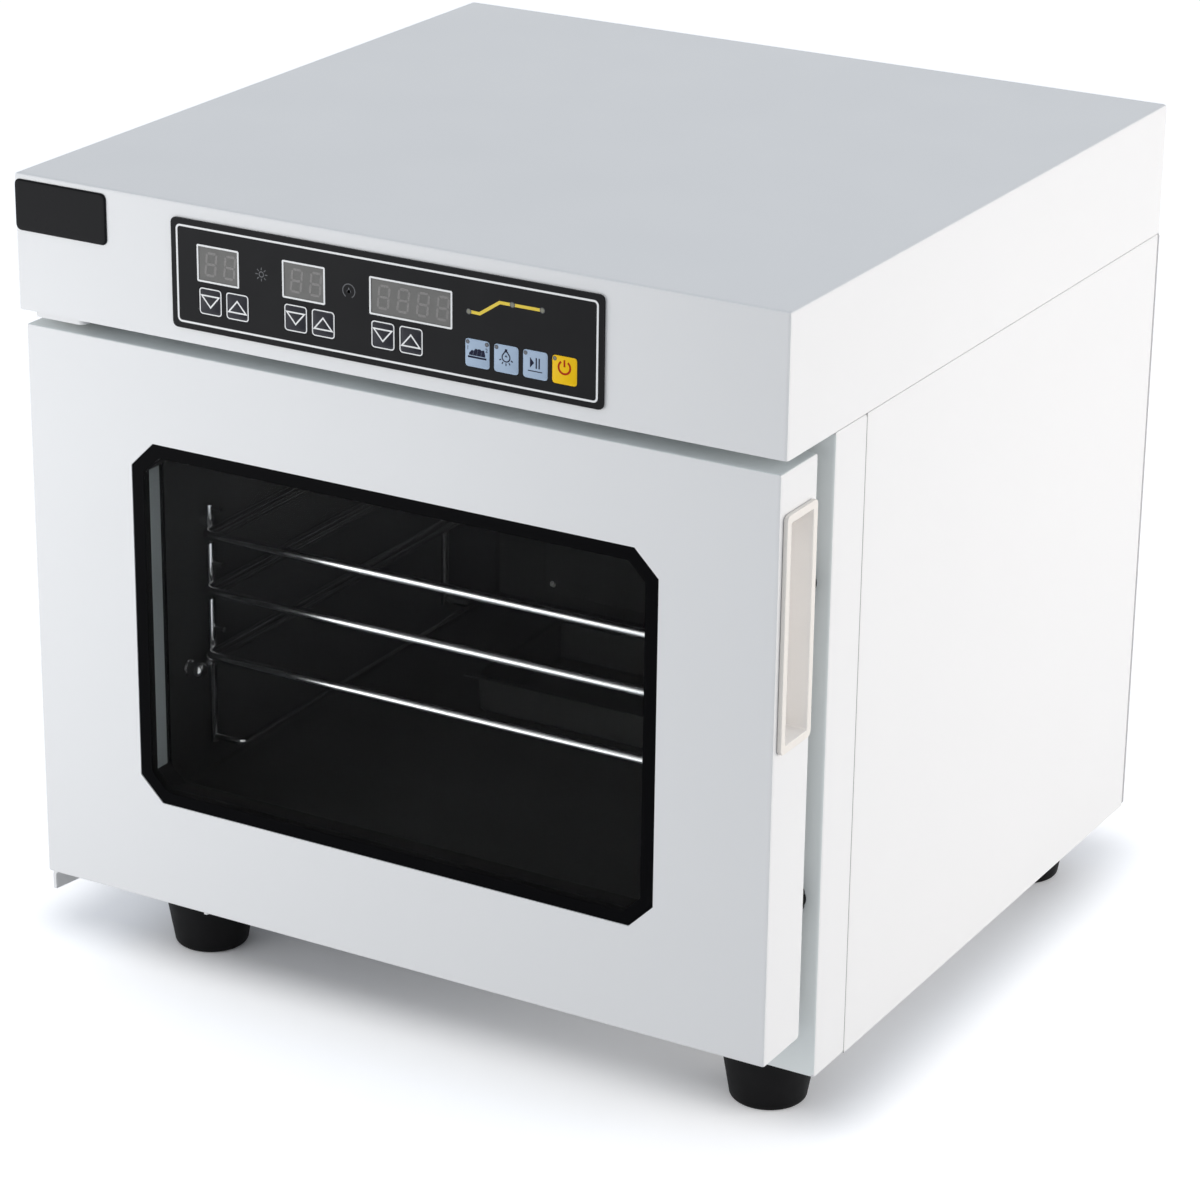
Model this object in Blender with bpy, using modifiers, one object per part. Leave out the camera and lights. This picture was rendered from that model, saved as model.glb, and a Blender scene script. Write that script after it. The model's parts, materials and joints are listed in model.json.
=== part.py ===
"""A countertop proofing cabinet, modelled as the separate pieces it is put together from.

A folded sheet-metal case carries an overhanging hood with the controls. A glazed door turns on
two pins at the left, and wire ladder racks in the heated chamber carry three tray frames.
Metres, +Z up. The front faces -Y, and the origin lies on the table under the middle.
"""
import math

import bmesh
import bpy
from mathutils import Matrix, Vector

# Outside of the cabinet
WIDTH = 0.470
DEPTH = 0.470
CASE_HEIGHT = 0.3652
HOOD_SKIRT = 0.0766
CASE_SETBACK = 0.0535

# Sheet metal and how pieces meet
SHEET = 0.0010
BEND = 0.0020
BEND_STEPS = 2
LIP_BEND = 0.0010
TOUCH = 0.0003
SEAM = 0.0006
OVERRUN = 0.004
ROUND_STEPS = 24
HIDDEN_ROUND_STEPS = 16
SMALL_ROUND_STEPS = 12
ROD_STEPS = 10
TINY_ROUND_STEPS = 8
MERGE = 0.00001

# Feet
FOOT_HEIGHT = 0.0419
FOOT_TOP_RADIUS = 0.0282
FOOT_BOTTOM_RADIUS = 0.0218
FOOT_EDGE = 0.0030
FOOT_SOCKET_RADIUS = 0.0065
FOOT_SOCKET_DEPTH = 0.0035
FOOT_SIDE_INSET = 0.0491
FOOT_FRONT_INSET = 0.0430
FOOT_BACK_INSET = 0.0370

# Folded edges of the case pieces
FRAME_RETURN = 0.0342
PANEL_FLANGE = 0.012
BASE_FLANGE = 0.015
DECK_FLANGE = 0.008
WIRING_HOLE_RADIUS = 0.012
WIRING_HOLE_INSET = 0.045

# Slots in the back
SLOT_WIDTH = 0.004
SLOT_LENGTH = 0.036
SLOT_PITCH = 0.012
HOOD_SLOTS = 8
BACK_SLOTS = 6
BACK_SLOT_DROP = 0.115

# Chamber
CHAMBER_WALL = 0.045
CHAMBER_BACK_SPACE = 0.040
CHAMBER_UNDERFLOOR = 0.0648
CHAMBER_OVERHEAD = 0.0354
CHAMBER_CORNER = 0.006
LINER_SHEET = 0.0008
LINER_LIP = 0.008
INSULATION_BACK = 0.020
INSULATION_FLOOR = 0.020

# Side racks and tray frames
RACK_ROD = 0.0025
RACK_WALL_GAP = 0.0033
RACK_WELD = 0.0004
RACK_BOTTOM_RISE = 0.019
RACK_TIP = 0.0018
RACK_FRONT_INSET = 0.0485
RACK_BACK_INSET = 0.075
RACK_RUNG_OVERHANG = 0.0105
PEG_RISE = 0.0112
PEG_REACH = 0.0085
PEG_ROD = 0.0015
STAND_OFF_RADIUS = 0.0042
STAND_OFF_LOW_RISE = 0.067
STAND_OFF_TOP_DROP = 0.010
LEDGE_ROD = 0.0020
LEDGE_REACH = 0.0205
LEDGE_RISE = 0.0035
TRAY_ROD = 0.00275
TRAY_UPRIGHT_GAP = 0.0007
TRAY_FRONT_INSET = 0.0345
TRAY_BACK_GAP = 0.008
TRAY_CORNER = 0.0045
TRAY_CORNER_STEPS = 3
TRAY_LEVEL_SHARES = (0.2977, 0.4483, 0.5762)

# Water pan
PAN_WIDTH = 0.200
PAN_DEPTH = 0.100
PAN_HEIGHT = 0.024
PAN_LIP = 0.005
PAN_CORNER = 0.005
PAN_BACK_INSET = 0.075

# Fan, heater and their cover
FAN_HEATER_GAP = 0.0165
FAN_HUB_RADIUS = 0.010
FAN_PLATE = 0.0015
FAN_BLADES = 14
FAN_BLADE_LENGTH = 0.017
FAN_BLADE_WIDTH = 0.022
FAN_BLADE_THICK = 0.0014
FAN_BLADE_SWEEP = 0.45
FAN_BLADE_STEPS = 3
FAN_WALL_GAP = 0.006
SHAFT_RADIUS = 0.0030
SHAFT_CLEARANCE = 0.0001
SHAFT_END_GAP = 0.002
SHAFT_WALL_GAP = 0.0015
MOTOR_RADIUS = 0.036
MOTOR_LENGTH = 0.029
MOTOR_BORE_DEPTH = 0.026
HEATER_TUBE = 0.0035
HEATER_COVER_GAP = 0.0235
HEATER_WALL_GAP = 0.020
HEATER_LEG_SPREAD = 0.012
HEATER_BEND = 0.008
HEATER_STEPS = 24
HEATER_TAIL = 0.012
BAFFLE_WIDTH = 0.260
BAFFLE_FLOOR_GAP = 0.028
BAFFLE_CEILING_GAP = 0.017
BAFFLE_DEPTH = 0.045
BAFFLE_SHEET = 0.0010
INTAKE_RADIUS = 0.046
INTAKE_WEB = 0.005
SLIT_WIDTH = 0.005
SLIT_PITCH = 0.011
OUTLET_LENGTH = 0.022
OUTLET_ROWS = 9

# Lamp and sensor
LAMP_RADIUS = 0.019
LAMP_BODY = 0.022
LAMP_FLANGE_RADIUS = 0.025
LAMP_FLANGE = 0.0015
LENS_RADIUS = 0.023
LENS_HEIGHT = 0.011
LENS_WALL = 0.0016
LENS_STEPS = 3
LAMP_SIDE_INSET = 0.070
LAMP_FRONT_INSET = 0.075
PROBE_RADIUS = 0.0040
PROBE_REACH = 0.022
PROBE_NUT_RADIUS = 0.008
PROBE_NUT = 0.004
PROBE_STUB = 0.012
PROBE_BACK_INSET = 0.062
PROBE_TOP_DROP = 0.036

# Door
DOOR_TOP_GAP = 0.0081
DOOR_RISE = 0.0290
DOOR_SIDE_GAP = 0.0036
DOOR_SETBACK = 0.0012
DOOR_THICK = 0.0416
DOOR_RETURN = 0.010
DOOR_BACK_BEND = 0.0030
DOOR_FRONT_BEND_SHARE = 0.5
DOOR_PANEL_THICK = 0.0010
GASKET_WIDTH = 0.012
GASKET_EDGE = 0.0025

# Window
WINDOW_SIDE_MARGIN = 0.0681
WINDOW_TOP_MARGIN = 0.0545
WINDOW_BOTTOM_MARGIN = 0.0618
WINDOW_CHAMFER = 0.0144
GLASS_THICK = 0.005
GLASS_RECESS = 0.0002
RETAINER_LAND = 0.010
RETAINER_OVERLAP = 0.0074
RETAINER_DEPTH = 0.0115
INNER_WINDOW_GROWTH = 0.008
INNER_WINDOW_CORNER = 0.012
INNER_GLASS_LAND = 0.006
INNER_GLASS_THICK = 0.004

# Pull in the door's right edge
PULL_SETBACK = 0.0032
PULL_WIDTH = 0.0330
PULL_TOP_DROP = 0.0223
PULL_HEIGHT = 0.1295
PULL_RIM_THICK = 0.0024
PULL_RIM_WIDTH = 0.0045
PULL_WALL = 0.0015
PULL_DEPTH = 0.016
PULL_CORNER = 0.003
PULL_CORNER_STEPS = 3

# Hinges
PIVOT_INSET = 0.0204
PIVOT_SETBACK = 0.0208
PIN_RADIUS = 0.0040
PIN_CLEARANCE = 0.0001
PIN_REACH = 0.014
PIN_SHOULDER_RADIUS = 0.0065
PIN_SHOULDER = 0.0015
PIN_RIVET_RADIUS = 0.0030
BUSH_RADIUS = 0.0058
BUSH_FLANGE_RADIUS = 0.0085
BUSH_FLANGE = 0.0012
BUSH_LENGTH = 0.011
HINGE_PLATE_INSET = 0.0086
HINGE_PLATE_WIDTH = 0.0334
HINGE_PLATE_THICK = 0.0030
HINGE_PLATE_SETBACK = 0.0006
HINGE_PLATE_CORNER = 0.004
BRACKET_INSET = 0.0016
BRACKET_WIDTH = 0.0956
BRACKET_SETBACK = 0.0070
BRACKET_SKEW = 0.0164
BRACKET_SHEET = 0.0020
BRACKET_BEND = 0.0030
BRACKET_DEPTH = 0.0125
BRACKET_SLOPE = 0.0045

# Magnetic catches
CATCH_EDGE_GAP = 0.0054
CATCH_WIDTH = 0.020
CATCH_HEIGHT = 0.013
CATCH_FROM_END = 0.075
CATCH_DOOR_GAP = 0.0005
CATCH_CORNER = 0.002

# Control fascia, its keys and its displays
FASCIA_WIDTH = 0.2630
FASCIA_HEIGHT = 0.0603
FASCIA_THICK = 0.0010
FASCIA_CORNER = 0.0030
FASCIA_SIDE_LAND = 0.0120
FASCIA_TOP_LAND = 0.0070
DISPLAY_MARGIN = 0.0167
DISPLAY_PITCH = 0.0538
DISPLAY_RISE = 0.0075
DISPLAY_HEIGHT = 0.0198
DISPLAY_CORNER = 0.0006
SMALL_DISPLAY_WIDTH = 0.0260
WIDE_DISPLAY_WIDTH = 0.0495
MODULE_GAP = 0.0004
MODULE_RECESS = 0.0003
MODULE_DEPTH = 0.0080
KEY_WIDTH = 0.0143
KEY_HEIGHT = 0.0148
KEY_CORNER = 0.0015
KEY_DROP = 0.0130
KEY_INSET = 0.0007
KEY_PITCH = 0.0171
FUNCTION_KEY_MARGIN = 0.1819
FUNCTION_KEY_PITCH = 0.0171
KEY_TRAVEL = 0.0004
KEY_STEM_RADIUS = 0.0030
SWITCH_SIZE = 0.0060
SWITCH_BODY = 0.0035
SWITCH_HEIGHT = 0.0050
SWITCH_PLUNGER_RADIUS = 0.00175
BOARD_THICK = 0.0016
BOARD_LAND = 0.0060
BOARD_POST_RADIUS = 0.0025
EMBED = 0.0002

# Power board in the hood
POWER_BOARD_WIDTH = 0.130
POWER_BOARD_DEPTH = 0.090
POWER_BOARD_SIDE = 0.090
POWER_BOARD_BACK_INSET = 0.110
POWER_POST = 0.006
POWER_MARGIN = 0.006
TRANSFORMER_SIZE = (0.042, 0.036, 0.032)
RELAY_SIZE = (0.019, 0.015, 0.016)
RELAY_PITCH = 0.025
RELAYS = 3
TERMINAL_SIZE = (0.060, 0.012, 0.013)
CAPACITOR_RADIUS = 0.008
CAPACITOR_HEIGHT = 0.025

# Power inlet in the back panel
INLET_SIDE_INSET = 0.065
INLET_RISE = 0.030
INLET_WIDTH = 0.0270
INLET_HEIGHT = 0.0195
INLET_DEPTH = 0.022
INLET_FLANGE_LAND = 0.006
INLET_FLANGE = 0.0010
INLET_CORNER = 0.003
INLET_WALL = 0.0020
INLET_SOCKET_DEPTH = 0.017
INLET_PIN_LENGTH = 0.010
INLET_PIN_WIDTH = 0.004
INLET_PIN_THICK = 0.002
INLET_PIN_SPREAD = 0.007
INLET_PIN_RISE = 0.002

# Places worked out from the sizes
SIDE = WIDTH / 2
FRONT = -DEPTH / 2
BACK = DEPTH / 2
BASE = FOOT_HEIGHT + TOUCH
HOOD_BOTTOM = BASE + CASE_HEIGHT
HOOD_TOP = HOOD_BOTTOM + HOOD_SKIRT
CASE_TOP = HOOD_BOTTOM - TOUCH
CASE_FRONT = FRONT + CASE_SETBACK
PANEL_FRONT = CASE_FRONT + FRAME_RETURN + SEAM
PANEL_BACK = BACK - SHEET - TOUCH
CHAMBER_SIDE = SIDE - CHAMBER_WALL
CHAMBER_FRONT = CASE_FRONT + SHEET + TOUCH
CHAMBER_BACK = BACK - CHAMBER_BACK_SPACE
CHAMBER_FLOOR = BASE + CHAMBER_UNDERFLOOR
CHAMBER_TOP = HOOD_BOTTOM - CHAMBER_OVERHEAD
LINER_OUTSIDE = CHAMBER_BACK + LINER_SHEET + TOUCH
UPRIGHT_X = CHAMBER_SIDE - RACK_WALL_GAP - RACK_ROD
RUNG_X = UPRIGHT_X - 2 * RACK_ROD + RACK_WELD
RACK_FRONT = CASE_FRONT + RACK_FRONT_INSET
RACK_BACK = CHAMBER_BACK - RACK_BACK_INSET
TRAY_X = UPRIGHT_X - RACK_ROD - TRAY_UPRIGHT_GAP - TRAY_ROD
TRAY_FRONT = CASE_FRONT + TRAY_FRONT_INSET
TRAY_BACK = CHAMBER_BACK - BAFFLE_DEPTH - TRAY_BACK_GAP
BAFFLE_BOTTOM = CHAMBER_FLOOR + BAFFLE_FLOOR_GAP
BAFFLE_TOP = CHAMBER_TOP - BAFFLE_CEILING_GAP
FAN_Z = (BAFFLE_BOTTOM + BAFFLE_TOP) / 2
HEATER_RADIUS = BAFFLE_TOP - FAN_Z - BAFFLE_SHEET - HEATER_COVER_GAP - HEATER_TUBE
FAN_RADIUS = HEATER_RADIUS - HEATER_TUBE - FAN_HEATER_GAP
DOOR_SIDE = SIDE - DOOR_SIDE_GAP
DOOR_TOP = HOOD_BOTTOM - DOOR_TOP_GAP
DOOR_BOTTOM = BASE + DOOR_RISE
DOOR_FRONT = FRONT + DOOR_SETBACK
DOOR_BACK = DOOR_FRONT + DOOR_THICK
DOOR_PANEL_BACK = DOOR_BACK - SHEET - TOUCH
WINDOW_SIDE = DOOR_SIDE - WINDOW_SIDE_MARGIN
WINDOW_TOP = DOOR_TOP - WINDOW_TOP_MARGIN
WINDOW_BOTTOM = DOOR_BOTTOM + WINDOW_BOTTOM_MARGIN
GLASS_FRONT = DOOR_FRONT + GLASS_RECESS
GLASS_BACK = GLASS_FRONT + GLASS_THICK
PIVOT = (-DOOR_SIDE + PIVOT_INSET, DOOR_FRONT + PIVOT_SETBACK)
BRACKET_TOP = DOOR_BOTTOM - BUSH_FLANGE - 2 * TOUCH
FASCIA_BACK = FRONT - TOUCH
FASCIA_FRONT = FASCIA_BACK - FASCIA_THICK
FASCIA_Z = HOOD_BOTTOM + HOOD_SKIRT / 2
FASCIA_LEFT = -FASCIA_WIDTH / 2
KEY_Z = FASCIA_Z - KEY_DROP
DISPLAY_Z = FASCIA_Z + DISPLAY_RISE
BOARD_FRONT = FASCIA_FRONT + MODULE_RECESS + MODULE_DEPTH + TOUCH
OPENING_HALF_WIDTH = FASCIA_WIDTH / 2 - FASCIA_SIDE_LAND
OPENING_HALF_HEIGHT = FASCIA_HEIGHT / 2 - FASCIA_TOP_LAND
WHOLE_TURN = 2 * math.pi
QUARTER_TURN = math.pi / 2

# Finishes: colour, roughness, metallic
WHITE_ENAMEL = ((0.80, 0.81, 0.82), 0.35, 0.0)
GALVANISED = ((0.55, 0.57, 0.58), 0.45, 0.9)
STAINLESS = ((0.62, 0.62, 0.62), 0.30, 1.0)
BRIGHT_ROD = ((0.80, 0.80, 0.80), 0.15, 1.0)
BLACK_FILM = ((0.02, 0.02, 0.025), 0.30, 0.0)
BLACK_RUBBER = ((0.015, 0.015, 0.017), 0.70, 0.0)
BLACK_PLASTIC = ((0.03, 0.03, 0.03), 0.45, 0.0)
DARK_ENAMEL = ((0.05, 0.05, 0.055), 0.35, 0.0)
DISPLAY_FACE = ((0.12, 0.12, 0.13), 0.30, 0.0)
DARK_KEY = ((0.03, 0.03, 0.035), 0.35, 0.0)
BLUE_KEY = ((0.42, 0.56, 0.68), 0.35, 0.0)
YELLOW_KEY = ((0.90, 0.55, 0.02), 0.35, 0.0)
BOARD_GREEN = ((0.03, 0.18, 0.08), 0.50, 0.0)
CREAM_PLASTIC = ((0.78, 0.73, 0.68), 0.40, 0.0)
NYLON = ((0.75, 0.74, 0.70), 0.50, 0.0)
SILICONE = ((0.45, 0.46, 0.46), 0.60, 0.0)
WOOL = ((0.70, 0.62, 0.35), 0.90, 0.0)
TINTED_GLASS = ((0.10, 0.11, 0.11), 0.05, 0.0)
CLEAR_GLASS = ((0.75, 0.80, 0.80), 0.05, 0.0)


def clear_scene():
    """Remove the objects that are already in the scene."""
    for thing in list(bpy.data.objects):
        bpy.data.objects.remove(thing)


def collection(name):
    """Make a collection in the scene."""
    group = bpy.data.collections.new(name)
    bpy.context.scene.collection.children.link(group)
    return group


clear_scene()
PARTS = collection("proofing_cabinet")
CUTTERS = collection("cutters")


def give_finish(thing, finish):
    """Give an object its own Principled material."""
    colour, roughness, metallic = finish
    material = bpy.data.materials.new(thing.name + "_finish")
    material.use_nodes = True
    shader = material.node_tree.nodes["Principled BSDF"]
    shader.inputs["Base Color"].default_value = (*colour, 1.0)
    shader.inputs["Roughness"].default_value = roughness
    shader.inputs["Metallic"].default_value = metallic
    thing.data.materials.append(material)


def place(name, data, finish, origin):
    """Put a mesh or curve in the scene as a part, or as a cutter when it has no finish."""
    thing = bpy.data.objects.new(name, data)
    thing.location = origin
    if finish:
        PARTS.objects.link(thing)
        give_finish(thing, finish)
    else:
        CUTTERS.objects.link(thing)
        thing.hide_render = True
        thing.display_type = "WIRE"
    return thing


def finish_mesh(name, bm, finish=None, origin=None, smooth=False):
    """Turn a bmesh in world places into an object whose origin is its middle or a given point."""
    if origin is None:
        lows = [min(v.co[i] for v in bm.verts) for i in range(3)]
        highs = [max(v.co[i] for v in bm.verts) for i in range(3)]
        origin = [(low + high) / 2 for low, high in zip(lows, highs)]
    bmesh.ops.translate(bm, vec=-Vector(origin), verts=bm.verts)
    mesh = bpy.data.meshes.new(name)
    bm.to_mesh(mesh)
    bm.free()
    if smooth:
        mesh.shade_smooth()
        mesh.set_sharp_from_angle(angle=math.radians(40))
    return place(name, mesh, finish, origin)


def add_slab(bm, low, high, axis=2, corner=0.0, steps=1):
    """Add a box whose four edges along one axis are rounded, or cut flat with one step."""
    made = bmesh.ops.create_cube(bm, size=1.0)["verts"]
    size = [top - bottom for bottom, top in zip(low, high)]
    middle = [(top + bottom) / 2 for bottom, top in zip(low, high)]
    bmesh.ops.scale(bm, vec=size, verts=made)
    bmesh.ops.translate(bm, vec=middle, verts=made)
    if corner:
        along = {edge for vert in made for edge in vert.link_edges
                 if abs((edge.verts[0].co - edge.verts[1].co)[axis]) > size[axis] / 2}
        bmesh.ops.bevel(bm, geom=list(along), offset=corner, segments=steps, profile=0.5,
                        affect="EDGES")


def add_rod(bm, start, end, radius, sides=SMALL_ROUND_STEPS):
    """Add a round rod between two points."""
    start, end = Vector(start), Vector(end)
    turn = (end - start).to_track_quat("Z", "Y").to_matrix().to_4x4()
    bmesh.ops.create_cone(bm, cap_ends=True, segments=sides, radius1=radius, radius2=radius,
                          depth=(end - start).length,
                          matrix=Matrix.Translation((start + end) / 2) @ turn)


def slab(name, low, high, finish=None, axis=2, corner=0.0, steps=1):
    """Make one box, with its edges along one axis rounded."""
    bm = bmesh.new()
    add_slab(bm, low, high, axis, corner, steps)
    return finish_mesh(name, bm, finish)


def join_solid(thing, tool, operation="DIFFERENCE"):
    """Cut a tool out of an object, or weld it on with UNION."""
    change = thing.modifiers.new(tool.name, "BOOLEAN")
    change.operation = operation
    change.object = tool
    change.solver = "EXACT"
    return thing


def cut_slabs(thing, name, boxes, axis=2, corner=0.0, steps=1):
    """Cut several boxes that don't meet each other out of an object."""
    bm = bmesh.new()
    for low, high in boxes:
        add_slab(bm, low, high, axis, corner, steps)
    return join_solid(thing, finish_mesh(name, bm))


def clear_radius(radius, sides):
    """The corner radius of a faceted hole whose flats lie at a radius."""
    return radius / math.cos(math.pi / sides)


def cut_rods(thing, name, rods, sides=SMALL_ROUND_STEPS):
    """Drill round holes through an object, each from start to end and clear of its radius."""
    bm = bmesh.new()
    for start, end, radius in rods:
        add_rod(bm, start, end, clear_radius(radius, sides), sides)
    return join_solid(thing, finish_mesh(name, bm))


def folded(name, low, high, open_sides, finish, sheet=SHEET, bend=BEND, lip=0.0, outward=False):
    """Fold a box from sheet, without its open sides, which are named like +Z.

    The given size is the outside, or the inside when the sheet's thickness goes outward.
    A lip turns the edge of the first open side outward.
    """
    bm = open_box(low, high, open_sides)
    tight = turn_lip(bm, way(open_sides[0]), lip) if lip else []
    weigh_bends(bm, tight, LIP_BEND / bend)
    thing = finish_mesh(name, bm, finish)
    return give_sheet(thing, bend, sheet, outward)


def open_box(low, high, open_sides):
    """The surface of a box without its open sides."""
    bm = bmesh.new()
    bm.edges.layers.float.new("bevel_weight_edge")
    add_slab(bm, low, high)
    gone = [face for face in bm.faces for side in open_sides if face.normal.dot(way(side)) > 0.9]
    bmesh.ops.delete(bm, geom=gone, context="FACES")
    return bm


def weigh_bends(bm, tight, share):
    """Mark every fold to be rounded fully, and the tight ones by a share of that."""
    weights = bm.edges.layers.float["bevel_weight_edge"]
    for edge in bm.edges:
        if not edge.is_boundary and edge.calc_face_angle(0.0) > 0.1:
            edge[weights] = share if edge in tight else 1.0


def give_sheet(thing, bend, sheet, outward=False):
    """Round an open surface's folds and give it the sheet's thickness."""
    corner = thing.modifiers.new("bends", "BEVEL")
    corner.limit_method = "WEIGHT"
    corner.width = bend
    corner.segments = BEND_STEPS
    wall = thing.modifiers.new("sheet", "SOLIDIFY")
    wall.thickness = sheet
    wall.offset = 1.0 if outward else -1.0
    wall.use_even_offset = True
    wall.use_quality_normals = True
    return thing


def way(side):
    """Turn a side's name, such as -Y, into its direction."""
    direction = Vector((0.0, 0.0, 0.0))
    direction["XYZ".index(side[1])] = 1.0 if side[0] == "+" else -1.0
    return direction


def turn_lip(bm, direction, lip):
    """Fold the edge round an open side outward, and give the edges of the fold."""
    middle = bm_middle(bm)
    rim = [edge for edge in bm.edges if edge.is_boundary
           and all((vert.co - middle).dot(direction) > 0 for vert in edge.verts)]
    new = bmesh.ops.extrude_edge_only(bm, edges=rim)["geom"]
    for vert in (piece for piece in new if isinstance(piece, bmesh.types.BMVert)):
        for i in range(3):
            if not direction[i]:
                vert.co[i] += math.copysign(lip, vert.co[i] - middle[i])
    return rim


def bm_middle(bm):
    """The middle of a bmesh's corners."""
    return sum((vert.co for vert in bm.verts), Vector()) / len(bm.verts)


def turned(name, profile, finish, origin, rotation=(0.0, 0.0, 0.0), steps=ROUND_STEPS, closed=False):
    """Turn a profile of (radius, height) points about an axis through the origin."""
    mesh = bpy.data.meshes.new(name)
    edges = [(i, i + 1) for i in range(len(profile) - 1)]
    if closed:
        edges.append((len(profile) - 1, 0))
    mesh.from_pydata([(radius, 0.0, height) for radius, height in profile], edges, [])
    thing = place(name, mesh, finish, origin)
    thing.rotation_euler = rotation
    screw = thing.modifiers.new("turn", "SCREW")
    screw.steps = steps
    screw.render_steps = steps
    screw.use_merge_vertices = True
    screw.merge_threshold = MERGE
    screw.use_smooth_shade = True
    return thing


def arc(centre, radius, start, end, steps):
    """Points of a flat arc, both ends included."""
    angles = [start + (end - start) * i / steps for i in range(steps + 1)]
    return [(centre[0] + radius * math.cos(a), centre[1] + radius * math.sin(a)) for a in angles]


def tube(name, points, radius, finish, closed=False, origin=(0.0, 0.0, 0.0)):
    """Run a round tube through points."""
    curve = bpy.data.curves.new(name, "CURVE")
    curve.dimensions = "3D"
    curve.bevel_depth = radius
    curve.bevel_resolution = 2
    curve.use_fill_caps = not closed
    line = curve.splines.new("POLY")
    line.points.add(len(points) - 1)
    for spot, point in zip(line.points, points):
        spot.co = (*(Vector(point) - Vector(origin)), 1.0)
    line.use_cyclic_u = closed
    line.use_smooth = True
    return place(name, curve, finish, origin)


def hang(thing, empty):
    """Parent a piece to an empty and keep it where it is."""
    thing.location = thing.location - empty.location
    thing.parent = empty
    return thing


def joint_empty(name, location):
    """Mark a joint's axis."""
    empty = bpy.data.objects.new(name, None)
    empty.location = location
    PARTS.objects.link(empty)
    return empty


# Hood and controls

def make_hood():
    """The folded top cover, open below, with a hole behind the fascia and slots at the back."""
    hood = folded("hood_cover", (-SIDE, FRONT, HOOD_BOTTOM), (SIDE, BACK, HOOD_TOP), ["-Z"],
                  WHITE_ENAMEL)
    cut_slabs(hood, "fascia_opening",
              [((-OPENING_HALF_WIDTH, FRONT - OVERRUN, FASCIA_Z - OPENING_HALF_HEIGHT),
                (OPENING_HALF_WIDTH, FRONT + SHEET + OVERRUN, FASCIA_Z + OPENING_HALF_HEIGHT))])
    row = slot_row(0.0, FASCIA_Z, HOOD_SLOTS)
    cut_slabs(hood, "hood_slots", row, axis=1, corner=SLOT_WIDTH / 2 - MERGE, steps=2)


def slot_row(middle_x, middle_z, count):
    """Boxes for a row of upright slots through the back."""
    first = middle_x - SLOT_PITCH * (count - 1) / 2
    return [((first + SLOT_PITCH * i - SLOT_WIDTH / 2, BACK - SHEET - OVERRUN,
              middle_z - SLOT_LENGTH / 2),
             (first + SLOT_PITCH * i + SLOT_WIDTH / 2, BACK + OVERRUN,
              middle_z + SLOT_LENGTH / 2)) for i in range(count)]


def display_places():
    """Each display's name, left edge and width."""
    widths = (SMALL_DISPLAY_WIDTH, SMALL_DISPLAY_WIDTH, WIDE_DISPLAY_WIDTH)
    names = ("temperature_display", "humidity_display", "timer_display")
    return [(name, FASCIA_LEFT + DISPLAY_MARGIN + DISPLAY_PITCH * i, width)
            for i, (name, width) in enumerate(zip(names, widths))]


def key_places():
    """Each key's name, left edge and finish."""
    keys = []
    for (display, left, _), word in zip(display_places(), ("temperature", "humidity", "time")):
        keys.append((word + "_down_key", left + KEY_INSET, DARK_KEY))
        keys.append((word + "_up_key", left + KEY_INSET + KEY_PITCH, DARK_KEY))
    names = ("ferment_key", "lighting_key", "start_pause_key", "power_key")
    for i, name in enumerate(names):
        left = FASCIA_LEFT + FUNCTION_KEY_MARGIN + FUNCTION_KEY_PITCH * i
        keys.append((name, left, YELLOW_KEY if name == "power_key" else BLUE_KEY))
    return keys


def make_fascia():
    """The black film panel with its windows."""
    fascia = slab("control_fascia", (FASCIA_LEFT, FASCIA_FRONT, FASCIA_Z - FASCIA_HEIGHT / 2),
                  (-FASCIA_LEFT, FASCIA_BACK, FASCIA_Z + FASCIA_HEIGHT / 2), BLACK_FILM,
                  axis=1, corner=FASCIA_CORNER, steps=3)
    front, back = FASCIA_FRONT - OVERRUN, FASCIA_BACK + OVERRUN
    cut_slabs(fascia, "display_windows",
              [((left, front, DISPLAY_Z - DISPLAY_HEIGHT / 2),
                (left + width, back, DISPLAY_Z + DISPLAY_HEIGHT / 2))
               for _, left, width in display_places()], axis=1, corner=DISPLAY_CORNER)
    cut_slabs(fascia, "key_windows",
              [((left - TOUCH, front, KEY_Z - KEY_HEIGHT / 2 - TOUCH),
                (left + KEY_WIDTH + TOUCH, back, KEY_Z + KEY_HEIGHT / 2 + TOUCH))
               for _, left, _ in key_places()], axis=1, corner=KEY_CORNER + TOUCH, steps=2)


def make_displays():
    """The display modules, whose faces fill the fascia's windows."""
    for name, left, width in display_places():
        low = (left + MODULE_GAP, FASCIA_FRONT + MODULE_RECESS,
               DISPLAY_Z - DISPLAY_HEIGHT / 2 + MODULE_GAP)
        high = (left + width - MODULE_GAP, BOARD_FRONT - TOUCH,
                DISPLAY_Z + DISPLAY_HEIGHT / 2 - MODULE_GAP)
        slab(name, low, high, DISPLAY_FACE)


def make_keys():
    """Ten keys, each a pad in its window with a stem that reaches for its switch."""
    plunger = BOARD_FRONT - SWITCH_HEIGHT
    for name, left, finish in key_places():
        middle = left + KEY_WIDTH / 2
        key = slab(name, (left, FASCIA_FRONT, KEY_Z - KEY_HEIGHT / 2),
                   (left + KEY_WIDTH, FASCIA_BACK, KEY_Z + KEY_HEIGHT / 2), finish,
                   axis=1, corner=KEY_CORNER, steps=2)
        bm = bmesh.new()
        add_rod(bm, (middle, FASCIA_BACK - EMBED, KEY_Z),
                (middle, plunger - KEY_TRAVEL - TOUCH, KEY_Z), KEY_STEM_RADIUS)
        join_solid(key, finish_mesh(name + "_stem", bm), "UNION")


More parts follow.
